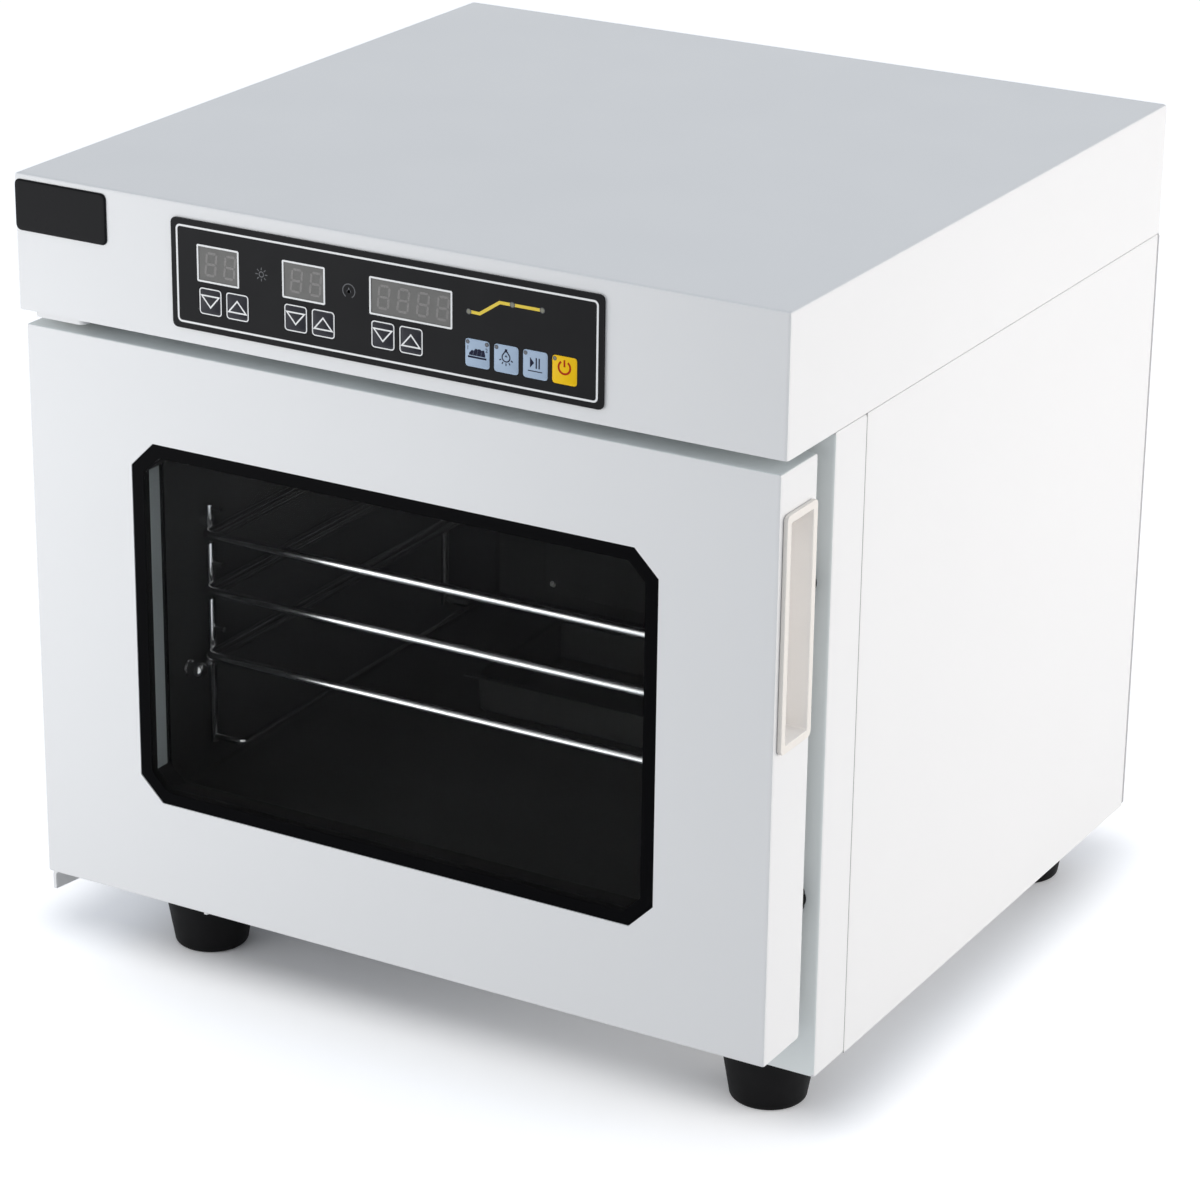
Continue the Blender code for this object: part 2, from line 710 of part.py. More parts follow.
def make_control_board():
    """The board behind the fascia, with a switch for each key and four posts."""
    half_width = OPENING_HALF_WIDTH + BOARD_LAND
    half_height = OPENING_HALF_HEIGHT + BOARD_LAND
    board = slab("control_board", (-half_width, BOARD_FRONT, FASCIA_Z - half_height),
                 (half_width, BOARD_FRONT + BOARD_THICK, FASCIA_Z + half_height), BOARD_GREEN)
    bodies, plungers = bmesh.new(), bmesh.new()
    half = SWITCH_SIZE / 2
    for _, left, _ in key_places():
        middle = left + KEY_WIDTH / 2
        add_slab(bodies, (middle - half, BOARD_FRONT - SWITCH_BODY, KEY_Z - half),
                 (middle + half, BOARD_FRONT + EMBED, KEY_Z + half))
        add_rod(plungers, (middle, BOARD_FRONT - SWITCH_HEIGHT, KEY_Z),
                (middle, BOARD_FRONT - SWITCH_BODY + EMBED, KEY_Z), SWITCH_PLUNGER_RADIUS,
                TINY_ROUND_STEPS)
    for x in (-half_width + BOARD_LAND / 2, half_width - BOARD_LAND / 2):
        for z in (-half_height + BOARD_LAND / 2, half_height - BOARD_LAND / 2):
            add_rod(bodies, (x, FRONT + SHEET + TOUCH, FASCIA_Z + z),
                    (x, BOARD_FRONT + EMBED, FASCIA_Z + z), BOARD_POST_RADIUS, TINY_ROUND_STEPS)
    join_solid(board, finish_mesh("switch_bodies", bodies), "UNION")
    join_solid(board, finish_mesh("switch_plungers", plungers), "UNION")


def make_power_board():
    """The board with the transformer, relays and terminals, on posts on the hood's floor."""
    floor = HOOD_BOTTOM + SHEET + TOUCH
    bottom = floor + POWER_POST
    top = bottom + BOARD_THICK
    left = -POWER_BOARD_SIDE - POWER_BOARD_WIDTH / 2
    right = left + POWER_BOARD_WIDTH
    back = BACK - POWER_BOARD_BACK_INSET
    front = back - POWER_BOARD_DEPTH
    board = slab("power_board", (left, front, bottom), (right, back, top), BOARD_GREEN)
    bm = bmesh.new()
    for x in (left + POWER_MARGIN, right - POWER_MARGIN):
        for y in (front + POWER_MARGIN, back - POWER_MARGIN):
            add_rod(bm, (x, y, floor), (x, y, bottom + EMBED), BOARD_POST_RADIUS, TINY_ROUND_STEPS)
    stand = top - EMBED
    x, y = left + POWER_MARGIN, back - POWER_MARGIN - TRANSFORMER_SIZE[1]
    add_slab(bm, (x, y, stand), (x + TRANSFORMER_SIZE[0], y + TRANSFORMER_SIZE[1],
                                 stand + TRANSFORMER_SIZE[2]))
    x = x + TRANSFORMER_SIZE[0] + POWER_MARGIN
    for i in range(RELAYS):
        start = x + RELAY_PITCH * i
        add_slab(bm, (start, y, stand), (start + RELAY_SIZE[0], y + RELAY_SIZE[1],
                                         stand + RELAY_SIZE[2]))
    middle = (left + right - TERMINAL_SIZE[0]) / 2
    add_slab(bm, (middle, front + POWER_MARGIN, stand),
             (middle + TERMINAL_SIZE[0], front + POWER_MARGIN + TERMINAL_SIZE[1],
              stand + TERMINAL_SIZE[2]))
    x, y = right - POWER_MARGIN - CAPACITOR_RADIUS, back - POWER_MARGIN - CAPACITOR_RADIUS
    add_rod(bm, (x, y, stand), (x, y, stand + CAPACITOR_HEIGHT), CAPACITOR_RADIUS)
    join_solid(board, finish_mesh("power_parts", bm), "UNION")


# Case

def make_case():
    """The deck under the hood, the front frame, the side and back panels and the base."""
    inner = SIDE - SHEET - TOUCH
    deck = folded("top_deck", (-inner, FRONT + SHEET + TOUCH, HOOD_BOTTOM),
                  (inner, BACK - SHEET - TOUCH, HOOD_BOTTOM + DECK_FLANGE), ["+Z"], GALVANISED)
    hole = (CHAMBER_SIDE - WIRING_HOLE_INSET, BACK - WIRING_HOLE_INSET)
    cut_rods(deck, "wiring_hole", [((*hole, HOOD_BOTTOM - OVERRUN),
                                    (*hole, HOOD_BOTTOM + OVERRUN), WIRING_HOLE_RADIUS)])
    frame = folded("front_frame", (-SIDE, CASE_FRONT, BASE),
                   (SIDE, CASE_FRONT + FRAME_RETURN, CASE_TOP), ["+Y"], WHITE_ENAMEL)
    cut_slabs(frame, "chamber_mouth",
              [((-CHAMBER_SIDE, CASE_FRONT - OVERRUN, CHAMBER_FLOOR),
                (CHAMBER_SIDE, CASE_FRONT + SHEET + OVERRUN, CHAMBER_TOP))],
              axis=1, corner=CHAMBER_CORNER, steps=BEND_STEPS)
    folded("side_panel_left", (-SIDE, PANEL_FRONT, BASE),
           (-SIDE + PANEL_FLANGE, PANEL_BACK, CASE_TOP), ["+X", "-Z"], WHITE_ENAMEL)
    folded("side_panel_right", (SIDE - PANEL_FLANGE, PANEL_FRONT, BASE),
           (SIDE, PANEL_BACK, CASE_TOP), ["-X", "-Z"], WHITE_ENAMEL)
    inside = SHEET + TOUCH
    folded("base_pan", (-inner, PANEL_FRONT + inside, BASE),
           (inner, PANEL_BACK - inside, BASE + BASE_FLANGE), ["+Z"], GALVANISED)
    make_back_panel()


def make_back_panel():
    """The flat back, with the inlet's hole and two groups of slots beside the fan motor."""
    panel = slab("back_panel", (-SIDE, BACK - SHEET, BASE), (SIDE, BACK, CASE_TOP), WHITE_ENAMEL,
                 axis=1, corner=BEND, steps=BEND_STEPS)
    x, z = SIDE - INLET_SIDE_INSET, BASE + INLET_RISE
    cut_slabs(panel, "inlet_hole",
              [((x - INLET_WIDTH / 2 - TOUCH, BACK - SHEET - OVERRUN, z - INLET_HEIGHT / 2 - TOUCH),
                (x + INLET_WIDTH / 2 + TOUCH, BACK + OVERRUN, z + INLET_HEIGHT / 2 + TOUCH))])
    row = slot_row(0.0, CASE_TOP - BACK_SLOT_DROP, BACK_SLOTS)
    cut_slabs(panel, "back_slots", row, axis=1, corner=SLOT_WIDTH / 2 - MERGE, steps=2)


def make_inlet():
    """The power inlet: a flanged box with a socket and three pins."""
    x, z = SIDE - INLET_SIDE_INSET, BASE + INLET_RISE
    half_width, half_height = INLET_WIDTH / 2, INLET_HEIGHT / 2
    rim = BACK + TOUCH
    face = rim + INLET_FLANGE
    inlet = slab("power_inlet",
                 (x - half_width - INLET_FLANGE_LAND, rim, z - half_height - INLET_FLANGE_LAND),
                 (x + half_width + INLET_FLANGE_LAND, face, z + half_height + INLET_FLANGE_LAND),
                 BLACK_PLASTIC, axis=1, corner=INLET_CORNER, steps=2)
    body = slab("inlet_body", (x - half_width, BACK - SHEET - INLET_DEPTH, z - half_height),
                (x + half_width, rim + EMBED, z + half_height))
    join_solid(inlet, body, "UNION")
    cut_slabs(inlet, "inlet_socket",
              [((x - half_width + INLET_WALL, face - INLET_SOCKET_DEPTH,
                 z - half_height + INLET_WALL),
                (x + half_width - INLET_WALL, face + OVERRUN, z + half_height - INLET_WALL))])
    bm = bmesh.new()
    for side, rise in ((-1, -1), (0, 1), (1, -1)):
        px = x + side * INLET_PIN_SPREAD
        pz = z + rise * INLET_PIN_RISE
        add_slab(bm, (px - INLET_PIN_THICK / 2, face - INLET_SOCKET_DEPTH - EMBED,
                      pz - INLET_PIN_WIDTH / 2),
                 (px + INLET_PIN_THICK / 2, face - INLET_SOCKET_DEPTH + INLET_PIN_LENGTH,
                  pz + INLET_PIN_WIDTH / 2))
    join_solid(inlet, finish_mesh("inlet_pins", bm), "UNION")


def make_feet():
    """Four tapered rubber feet with a screw socket below."""
    top, low, edge = FOOT_TOP_RADIUS, FOOT_BOTTOM_RADIUS, FOOT_EDGE
    rounding = [(r, z) for r, z in arc((low - edge, edge), edge, 0.0, -QUARTER_TURN, 3)]
    profile = [(0.0, FOOT_HEIGHT), (top, FOOT_HEIGHT), *rounding,
               (FOOT_SOCKET_RADIUS, 0.0), (FOOT_SOCKET_RADIUS, FOOT_SOCKET_DEPTH),
               (0.0, FOOT_SOCKET_DEPTH)]
    rows = (("front", CASE_FRONT + FOOT_FRONT_INSET), ("back", BACK - FOOT_BACK_INSET))
    for row, y in rows:
        for side, x in (("left", -SIDE + FOOT_SIDE_INSET), ("right", SIDE - FOOT_SIDE_INSET)):
            turned("foot_" + row + "_" + side, profile, BLACK_RUBBER, (x, y, 0.0))


# Chamber

def make_chamber():
    """The liner and the insulation round it, with their holes."""
    liner = folded("chamber_liner", (-CHAMBER_SIDE, CHAMBER_FRONT, CHAMBER_FLOOR),
                   (CHAMBER_SIDE, CHAMBER_BACK, CHAMBER_TOP), ["-Y"], DARK_ENAMEL,
                   sheet=LINER_SHEET, bend=CHAMBER_CORNER, lip=LINER_LIP, outward=True)
    around = LINER_SHEET + TOUCH
    side = SIDE - PANEL_FLANGE - TOUCH
    top = CASE_TOP - SHEET - TOUCH
    wrap = slab("insulation_wrap",
                (-side, CHAMBER_FRONT + around, CHAMBER_FLOOR - around - INSULATION_FLOOR),
                (side, CHAMBER_BACK + around + INSULATION_BACK, top), WOOL)
    cut_slabs(wrap, "wrap_inside",
              [((-CHAMBER_SIDE - around, CHAMBER_FRONT - OVERRUN, CHAMBER_FLOOR - around),
                (CHAMBER_SIDE + around, CHAMBER_BACK + around, CHAMBER_TOP + around))])
    drill_chamber(liner, wrap)


def drill_chamber(liner, wrap):
    """Holes for the fan shaft, heater legs, lamp and sensor."""
    inside, outside = CHAMBER_BACK - OVERRUN, LINER_OUTSIDE + INSULATION_BACK + OVERRUN
    leg_z = heater_leg_height()
    leg = HEATER_TUBE + TOUCH
    lamp = lamp_place()
    probe_y, probe_z = CHAMBER_BACK - PROBE_BACK_INSET, CHAMBER_TOP - PROBE_TOP_DROP
    probe = PROBE_RADIUS + TOUCH
    legs = [((x, inside, leg_z), (x, outside, leg_z), leg)
            for x in (-HEATER_LEG_SPREAD, HEATER_LEG_SPREAD)]
    sensor = ((CHAMBER_SIDE - OVERRUN, probe_y, probe_z),
              (CHAMBER_SIDE + LINER_SHEET + PROBE_STUB + OVERRUN, probe_y, probe_z), probe)
    lamp_hole = ((*lamp, CHAMBER_TOP - OVERRUN), (*lamp, CASE_TOP + OVERRUN), LAMP_RADIUS + TOUCH)
    cut_rods(liner, "liner_holes",
             [((0.0, inside, FAN_Z), (0.0, outside, FAN_Z), SHAFT_RADIUS + SHAFT_WALL_GAP),
              *legs, sensor, lamp_hole])
    cut_rods(wrap, "wrap_holes",
             [((0.0, inside, FAN_Z), (0.0, outside, FAN_Z), MOTOR_RADIUS + SHAFT_WALL_GAP),
              *legs, sensor, lamp_hole])


def heater_leg_height():
    """Where the heater's loop opens into its two legs."""
    return FAN_Z - math.sqrt(HEATER_RADIUS ** 2 - HEATER_LEG_SPREAD ** 2)


def lamp_place():
    """Where the lamp's axis is."""
    return (CHAMBER_SIDE - LAMP_SIDE_INSET, CHAMBER_FRONT + LAMP_FRONT_INSET)


def tray_heights():
    """The heights of the tray frames, lowest first."""
    return [CHAMBER_FLOOR + (CHAMBER_TOP - CHAMBER_FLOOR) * share for share in TRAY_LEVEL_SHARES]


def make_rack(name, side):
    """A welded ladder rack: uprights, a rung for each tray, a low ledge, pegs and stand-offs."""
    low = CHAMBER_FLOOR + RACK_BOTTOM_RISE
    high = max(tray_heights()) + PEG_RISE + RACK_TIP
    bm = bmesh.new()
    add_rod(bm, (side * UPRIGHT_X, RACK_FRONT, low), (side * UPRIGHT_X, RACK_FRONT, high), RACK_ROD,
            ROD_STEPS)
    rack = finish_mesh(name, bm, BRIGHT_ROD, smooth=True)
    rungs, posts = bmesh.new(), bmesh.new()
    for tray in tray_heights():
        z = tray - TRAY_ROD - TOUCH - RACK_ROD
        add_rod(rungs, (side * RUNG_X, RACK_FRONT - RACK_RUNG_OVERHANG, z),
                (side * RUNG_X, RACK_BACK + RACK_RUNG_OVERHANG, z), RACK_ROD, ROD_STEPS)
    add_rod(posts, (side * UPRIGHT_X, RACK_BACK, low), (side * UPRIGHT_X, RACK_BACK, high), RACK_ROD,
            ROD_STEPS)
    join_solid(rack, finish_mesh(name + "_rungs", rungs), "UNION")
    join_solid(rack, finish_mesh(name + "_upright", posts), "UNION")
    arms, ledge = bmesh.new(), bmesh.new()
    ledge_x, ledge_z = side * (UPRIGHT_X - LEDGE_REACH), low + LEDGE_RISE
    for y in (RACK_FRONT, RACK_BACK):
        add_rod(arms, (side * UPRIGHT_X, y, ledge_z), (ledge_x, y, ledge_z), LEDGE_ROD, ROD_STEPS)
    add_rod(ledge, (ledge_x, RACK_FRONT - LEDGE_ROD - RACK_WELD, ledge_z + RACK_WELD),
            (ledge_x, RACK_BACK + LEDGE_ROD + RACK_WELD, ledge_z + RACK_WELD), LEDGE_ROD, ROD_STEPS)
    join_solid(rack, finish_mesh(name + "_ledge_arms", arms), "UNION")
    join_solid(rack, finish_mesh(name + "_ledge", ledge), "UNION")
    pins = bmesh.new()
    wall = CHAMBER_SIDE - TOUCH
    for y in (RACK_FRONT, RACK_BACK):
        for z in (CHAMBER_FLOOR + STAND_OFF_LOW_RISE, high - STAND_OFF_TOP_DROP):
            add_rod(pins, (side * (UPRIGHT_X - RACK_WELD), y, z), (side * wall, y, z),
                    STAND_OFF_RADIUS, ROD_STEPS)
        for tray in tray_heights():
            z = tray + PEG_RISE
            add_rod(pins, (side * UPRIGHT_X, y, z), (side * (UPRIGHT_X - PEG_REACH), y, z), PEG_ROD,
                    TINY_ROUND_STEPS)
    join_solid(rack, finish_mesh(name + "_pins", pins), "UNION")


def make_trays():
    """Three tray frames, each a rectangle of rod with round corners."""
    left, right = -TRAY_X, TRAY_X
    quarter = QUARTER_TURN
    corners = ((right, TRAY_BACK, 0), (left, TRAY_BACK, 1), (left, TRAY_FRONT, 2),
               (right, TRAY_FRONT, 3))
    outline = []
    for x, y, turn in corners:
        centre = (x - math.copysign(TRAY_CORNER, x), y + (TRAY_CORNER if turn > 1 else -TRAY_CORNER))
        outline += arc(centre, TRAY_CORNER, quarter * turn, quarter * (turn + 1), TRAY_CORNER_STEPS)
    for name, z in zip(("shelf_bottom", "shelf_middle", "shelf_top"), tray_heights()):
        origin = (0.0, (TRAY_FRONT + TRAY_BACK) / 2, z)
        tube(name, [(x, y, z) for x, y in outline], TRAY_ROD, BRIGHT_ROD, True, origin)


def make_pan():
    """The water pan on the chamber floor."""
    back = CHAMBER_BACK - PAN_BACK_INSET
    bottom = CHAMBER_FLOOR + TOUCH
    folded("water_pan", (-PAN_WIDTH / 2, back - PAN_DEPTH, bottom),
           (PAN_WIDTH / 2, back, bottom + PAN_HEIGHT), ["+Z"], DARK_ENAMEL,
           sheet=LINER_SHEET, bend=PAN_CORNER, lip=PAN_LIP)


def make_fan():
    """The impeller on its shaft, with its motor behind the liner."""
    plate_back = CHAMBER_BACK - FAN_WALL_GAP
    motor_front = LINER_OUTSIDE
    reach = motor_front + MOTOR_BORE_DEPTH - SHAFT_END_GAP - plate_back
    hub = FAN_BLADE_LENGTH
    profile = [(0.0, hub), (FAN_HUB_RADIUS, hub), (FAN_HUB_RADIUS, FAN_PLATE),
               (FAN_RADIUS, FAN_PLATE), (FAN_RADIUS, 0.0), (SHAFT_RADIUS, 0.0),
               (SHAFT_RADIUS, -reach), (0.0, -reach)]
    fan = turned("fan_impeller", profile, GALVANISED, (0.0, plate_back, FAN_Z),
                 rotation=(QUARTER_TURN, 0.0, 0.0))
    blades = finish_blades("fan_blades", plate_back)
    join_solid(fan, blades, "UNION")
    bore = clear_radius(SHAFT_RADIUS + SHAFT_CLEARANCE, ROUND_STEPS)
    turned("fan_motor", [(bore, 0.0), (MOTOR_RADIUS, 0.0), (MOTOR_RADIUS, -MOTOR_LENGTH),
                         (0.0, -MOTOR_LENGTH), (0.0, -MOTOR_BORE_DEPTH), (bore, -MOTOR_BORE_DEPTH)],
           GALVANISED, (0.0, motor_front, FAN_Z), rotation=(QUARTER_TURN, 0.0, 0.0), closed=True)


def finish_blades(name, plate_back):
    """Curved blades round the impeller's rim, sunk a little into its plate."""
    bm = bmesh.new()
    inner = FAN_RADIUS - FAN_BLADE_WIDTH
    back = plate_back - FAN_PLATE + EMBED
    front = plate_back - FAN_PLATE - FAN_BLADE_LENGTH
    for blade in range(FAN_BLADES):
        start = WHOLE_TURN * blade / FAN_BLADES
        edge = []
        for i in range(FAN_BLADE_STEPS + 1):
            share = i / FAN_BLADE_STEPS
            radius = inner + (FAN_RADIUS - MERGE - inner) * share
            edge.append((radius, start + FAN_BLADE_SWEEP * share * share))
        thin = [(radius, angle + FAN_BLADE_THICK / radius) for radius, angle in reversed(edge)]
        outline = [(radius * math.cos(angle), radius * math.sin(angle))
                   for radius, angle in edge + thin]
        flat = bm.faces.new([bm.verts.new((x, front, FAN_Z + z)) for x, z in outline])
        grown = bmesh.ops.extrude_face_region(bm, geom=[flat])["geom"]
        raised = [piece for piece in grown if isinstance(piece, bmesh.types.BMVert)]
        bmesh.ops.translate(bm, vec=(0.0, back - front, 0.0), verts=raised)
    bmesh.ops.recalc_face_normals(bm, faces=bm.faces)
    return finish_mesh(name, bm)


def make_heater():
    """A round tube element: a loop about the fan with two legs through the back wall."""
    y = CHAMBER_BACK - HEATER_WALL_GAP
    out = LINER_OUTSIDE + HEATER_TAIL
    half = math.asin(HEATER_LEG_SPREAD / HEATER_RADIUS)
    ring = arc((0.0, FAN_Z), HEATER_RADIUS, -QUARTER_TURN - half,
               -QUARTER_TURN + half - WHOLE_TURN, HEATER_STEPS)
    ring = [(x, y, z) for x, z in ring]
    leg_z = heater_leg_height()
    first = [(-HEATER_LEG_SPREAD, out, leg_z), (-HEATER_LEG_SPREAD, y + HEATER_BEND, leg_z)]
    first += [(-HEATER_LEG_SPREAD, y + HEATER_BEND / 4, leg_z)]
    last = [(-x, spot_y, z) for x, spot_y, z in reversed(first)]
    tube("heating_element", first + ring[1:-1] + last, HEATER_TUBE, STAINLESS)


def make_baffle():
    """The cover over the fan and heater, with a round intake of slits and outlets at its sides."""
    low = (-BAFFLE_WIDTH / 2, CHAMBER_BACK - BAFFLE_DEPTH, BAFFLE_BOTTOM)
    high = (BAFFLE_WIDTH / 2, CHAMBER_BACK - TOUCH, BAFFLE_TOP)
    baffle = folded("air_baffle", low, high, ["+Y"], DARK_ENAMEL, sheet=BAFFLE_SHEET)
    slits = []
    rows = int(INTAKE_RADIUS / SLIT_PITCH)
    for row in range(-rows, rows + 1):
        rise = row * SLIT_PITCH
        reach = math.sqrt(INTAKE_RADIUS ** 2 - rise ** 2)
        for start, end in ((-reach, -INTAKE_WEB), (INTAKE_WEB, reach)):
            slits.append(((start, low[1] - OVERRUN, FAN_Z + rise - SLIT_WIDTH / 2),
                          (end, low[1] + OVERRUN, FAN_Z + rise + SLIT_WIDTH / 2)))
    middle = (low[1] + high[1]) / 2
    for side in (low[0], high[0]):
        for row in range(OUTLET_ROWS):
            z = FAN_Z + SLIT_PITCH * (row - (OUTLET_ROWS - 1) / 2)
            slits.append(((side - OVERRUN, middle - OUTLET_LENGTH / 2, z - SLIT_WIDTH / 2),
                          (side + OVERRUN, middle + OUTLET_LENGTH / 2, z + SLIT_WIDTH / 2)))
    cut_slabs(baffle, "baffle_slits", slits)


def make_lamp():
    """The lamp's holder in the ceiling and its lens below."""
    x, y = lamp_place()
    flange_top = CHAMBER_TOP - TOUCH
    flange_bottom = flange_top - LAMP_FLANGE
    turned("lamp_holder",
           [(0.0, LAMP_BODY), (LAMP_RADIUS, LAMP_BODY), (LAMP_RADIUS, 0.0),
            (LAMP_FLANGE_RADIUS, 0.0), (LAMP_FLANGE_RADIUS, -LAMP_FLANGE), (0.0, -LAMP_FLANGE)],
           STAINLESS, (x, y, flange_top))
    angles = [QUARTER_TURN * i / LENS_STEPS for i in range(LENS_STEPS)]
    outside = [(LENS_RADIUS * math.cos(a), -LENS_HEIGHT * math.sin(a)) for a in angles]
    inside = [((LENS_RADIUS - LENS_WALL) * math.cos(a), (LENS_WALL - LENS_HEIGHT) * math.sin(a))
              for a in reversed(angles)]
    pole = [(0.0, -LENS_HEIGHT), (0.0, LENS_WALL - LENS_HEIGHT)]
    turned("lamp_lens", outside + pole + inside, CLEAR_GLASS, (x, y, flange_bottom - TOUCH), closed=True)


def make_probe():
    """The sensor through the right wall, with its nut inside the chamber."""
    y, z = CHAMBER_BACK - PROBE_BACK_INSET, CHAMBER_TOP - PROBE_TOP_DROP
    nut_back = -TOUCH
    nut_front = nut_back - PROBE_NUT
    tip = nut_front - PROBE_REACH
    stub = LINER_SHEET + PROBE_STUB
    profile = [(0.0, stub), (PROBE_RADIUS, stub), (PROBE_RADIUS, nut_back),
               (PROBE_NUT_RADIUS, nut_back), (PROBE_NUT_RADIUS, nut_front),
               (PROBE_RADIUS, nut_front), (PROBE_RADIUS, tip + PROBE_RADIUS),
               (PROBE_RADIUS / 2, tip), (0.0, tip)]
    turned("sensor_probe", profile, STAINLESS, (CHAMBER_SIDE, y, z),
           rotation=(0.0, QUARTER_TURN, 0.0), steps=SMALL_ROUND_STEPS)


# Hinges and catches on the case

def make_case_hinges():
    """The plate under the hood and the bracket under the door, each with its pin."""
    plate_top = HOOD_BOTTOM - TOUCH
    plate_bottom = plate_top - HINGE_PLATE_THICK
    left = -SIDE + HINGE_PLATE_INSET
    plate = slab("upper_hinge_plate", (left, DOOR_FRONT + HINGE_PLATE_SETBACK, plate_bottom),
                 (left + HINGE_PLATE_WIDTH, CASE_FRONT - TOUCH, plate_top), WHITE_ENAMEL,
                 axis=2, corner=HINGE_PLATE_CORNER, steps=3)
    cut_rods(plate, "rivet_hole", [((*PIVOT, plate_bottom - OVERRUN), (*PIVOT, plate_top + OVERRUN),
                                    PIN_RIVET_RADIUS + PIN_CLEARANCE)])
    shoulder = -HINGE_PLATE_THICK - TOUCH
    tip = DOOR_TOP - PIN_REACH - plate_top
    turned("upper_hinge_pin",
           [(0.0, 0.0), (PIN_RIVET_RADIUS, 0.0), (PIN_RIVET_RADIUS, shoulder),
            (PIN_SHOULDER_RADIUS, shoulder), (PIN_SHOULDER_RADIUS, shoulder - PIN_SHOULDER),
            (PIN_RADIUS, shoulder - PIN_SHOULDER), (PIN_RADIUS, tip + PIN_RADIUS / 4),
            (PIN_RADIUS * 3 / 4, tip), (0.0, tip)], STAINLESS, (*PIVOT, plate_top),
           steps=HIDDEN_ROUND_STEPS)
    make_bracket()
    head = BRACKET_TOP - BRACKET_SHEET - TOUCH
    top = DOOR_BOTTOM + PIN_REACH - head
    turned("lower_hinge_pin",
           [(0.0, top), (PIN_RADIUS * 3 / 4, top), (PIN_RADIUS, top - PIN_RADIUS / 4),
            (PIN_RADIUS, 0.0), (PIN_SHOULDER_RADIUS, 0.0), (PIN_SHOULDER_RADIUS, -PIN_SHOULDER),
            (0.0, -PIN_SHOULDER)], STAINLESS, (*PIVOT, head), steps=HIDDEN_ROUND_STEPS)


def make_bracket():
    """The folded bracket under the door: a skew shelf with sloping side flanges."""
    left = -SIDE + BRACKET_INSET
    right = left + BRACKET_WIDTH
    front, back = DOOR_FRONT + BRACKET_SETBACK, CASE_FRONT - TOUCH
    bottom = BRACKET_TOP - BRACKET_DEPTH
    bm = open_box((left, front, bottom), (right, back, BRACKET_TOP), ["-Z", "-Y"])
    middle = bm_middle(bm)
    for vert in bm.verts:
        if vert.co.y < middle.y and vert.co.x > middle.x:
            vert.co.y += BRACKET_SKEW
        if vert.co.y > middle.y and vert.co.z < middle.z:
            vert.co.z -= BRACKET_SLOPE
    weigh_bends(bm, [], 1.0)
    bracket = finish_mesh("lower_hinge_bracket", bm, WHITE_ENAMEL)
    give_sheet(bracket, BRACKET_BEND, BRACKET_SHEET)
    cut_rods(bracket, "bracket_hole",
             [((*PIVOT, BRACKET_TOP - BRACKET_SHEET - OVERRUN), (*PIVOT, BRACKET_TOP + OVERRUN),
               PIN_RADIUS + PIN_CLEARANCE)])


def make_catches():
    """Two magnetic catches on the front frame, beside the gasket."""
    right = DOOR_SIDE - CATCH_EDGE_GAP
    for name, z in (("catch_upper", DOOR_TOP - CATCH_FROM_END),
                    ("catch_lower", DOOR_BOTTOM + CATCH_FROM_END)):
        slab(name, (right - CATCH_WIDTH, DOOR_BACK + CATCH_DOOR_GAP, z - CATCH_HEIGHT / 2),
             (right, CASE_FRONT - TOUCH, z + CATCH_HEIGHT / 2), BLACK_PLASTIC,
             axis=1, corner=CATCH_CORNER, steps=2)


# Door

def make_door():
    """Everything that swings, hung on an empty that stands on the hinge axis."""
    hinge = joint_empty("door_hinge_axis", (*PIVOT, DOOR_BOTTOM))
    pieces = [make_door_shell(), *make_window(), make_door_panel(), make_inner_glass(),
              make_gasket(), make_pull(), *make_bushes()]
    for piece in pieces:
        hang(piece, hinge)


def make_door_shell():
    """The folded door pan, with a return round its back and the octagonal window."""
    bm = open_box((-DOOR_SIDE, DOOR_FRONT, DOOR_BOTTOM), (DOOR_SIDE, DOOR_BACK, DOOR_TOP), [])
    back = [face for face in bm.faces if face.normal.dot(way("+Y")) > 0.9]
    bmesh.ops.inset_region(bm, faces=back, thickness=DOOR_RETURN)
    bmesh.ops.delete(bm, geom=back, context="FACES")
    middle = (DOOR_FRONT + DOOR_BACK) / 2
    tight = [edge for edge in bm.edges if any(vert.co.y < middle for vert in edge.verts)]
    weigh_bends(bm, tight, DOOR_FRONT_BEND_SHARE)
    door = finish_mesh("door_shell", bm, WHITE_ENAMEL)
    give_sheet(door, DOOR_BACK_BEND, SHEET)
    edge = WINDOW_SIDE + TOUCH
    cut_slabs(door, "window_cut",
              [((-edge, DOOR_FRONT - OVERRUN, WINDOW_BOTTOM - TOUCH),
                (edge, DOOR_FRONT + SHEET + OVERRUN, WINDOW_TOP + TOUCH))],
              axis=1, corner=WINDOW_CHAMFER)
    (y0, z0), (y1, z1) = pull_body()
    cut_slabs(door, "pull_cut",
              [((DOOR_SIDE - SHEET - OVERRUN, y0 - TOUCH, z0 - TOUCH),
                (DOOR_SIDE + OVERRUN, y1 + TOUCH, z1 + TOUCH))])
    hole = BUSH_RADIUS + TOUCH
    cut_rods(door, "bush_holes",
             [((*PIVOT, DOOR_TOP - SHEET - OVERRUN), (*PIVOT, DOOR_TOP + OVERRUN), hole),
              ((*PIVOT, DOOR_BOTTOM - OVERRUN), (*PIVOT, DOOR_BOTTOM + SHEET + OVERRUN), hole)])
    return door


def octagon(grow):
    """The window's outline as low and high corners, grown by an amount."""
    return ((-WINDOW_SIDE - grow, WINDOW_BOTTOM - grow), (WINDOW_SIDE + grow, WINDOW_TOP + grow))


def octagon_chamfer(grow):
    """The corner cut that keeps the octagon's rim even when it grows."""
    return WINDOW_CHAMFER + grow * (2 - math.sqrt(2))


def octagon_slab(name, grow, front, back, finish=None):
    """An eight-sided slab that follows the window."""
    (x0, z0), (x1, z1) = octagon(grow)
    return slab(name, (x0, front, z0), (x1, back, z1), finish, axis=1,
                corner=octagon_chamfer(grow))


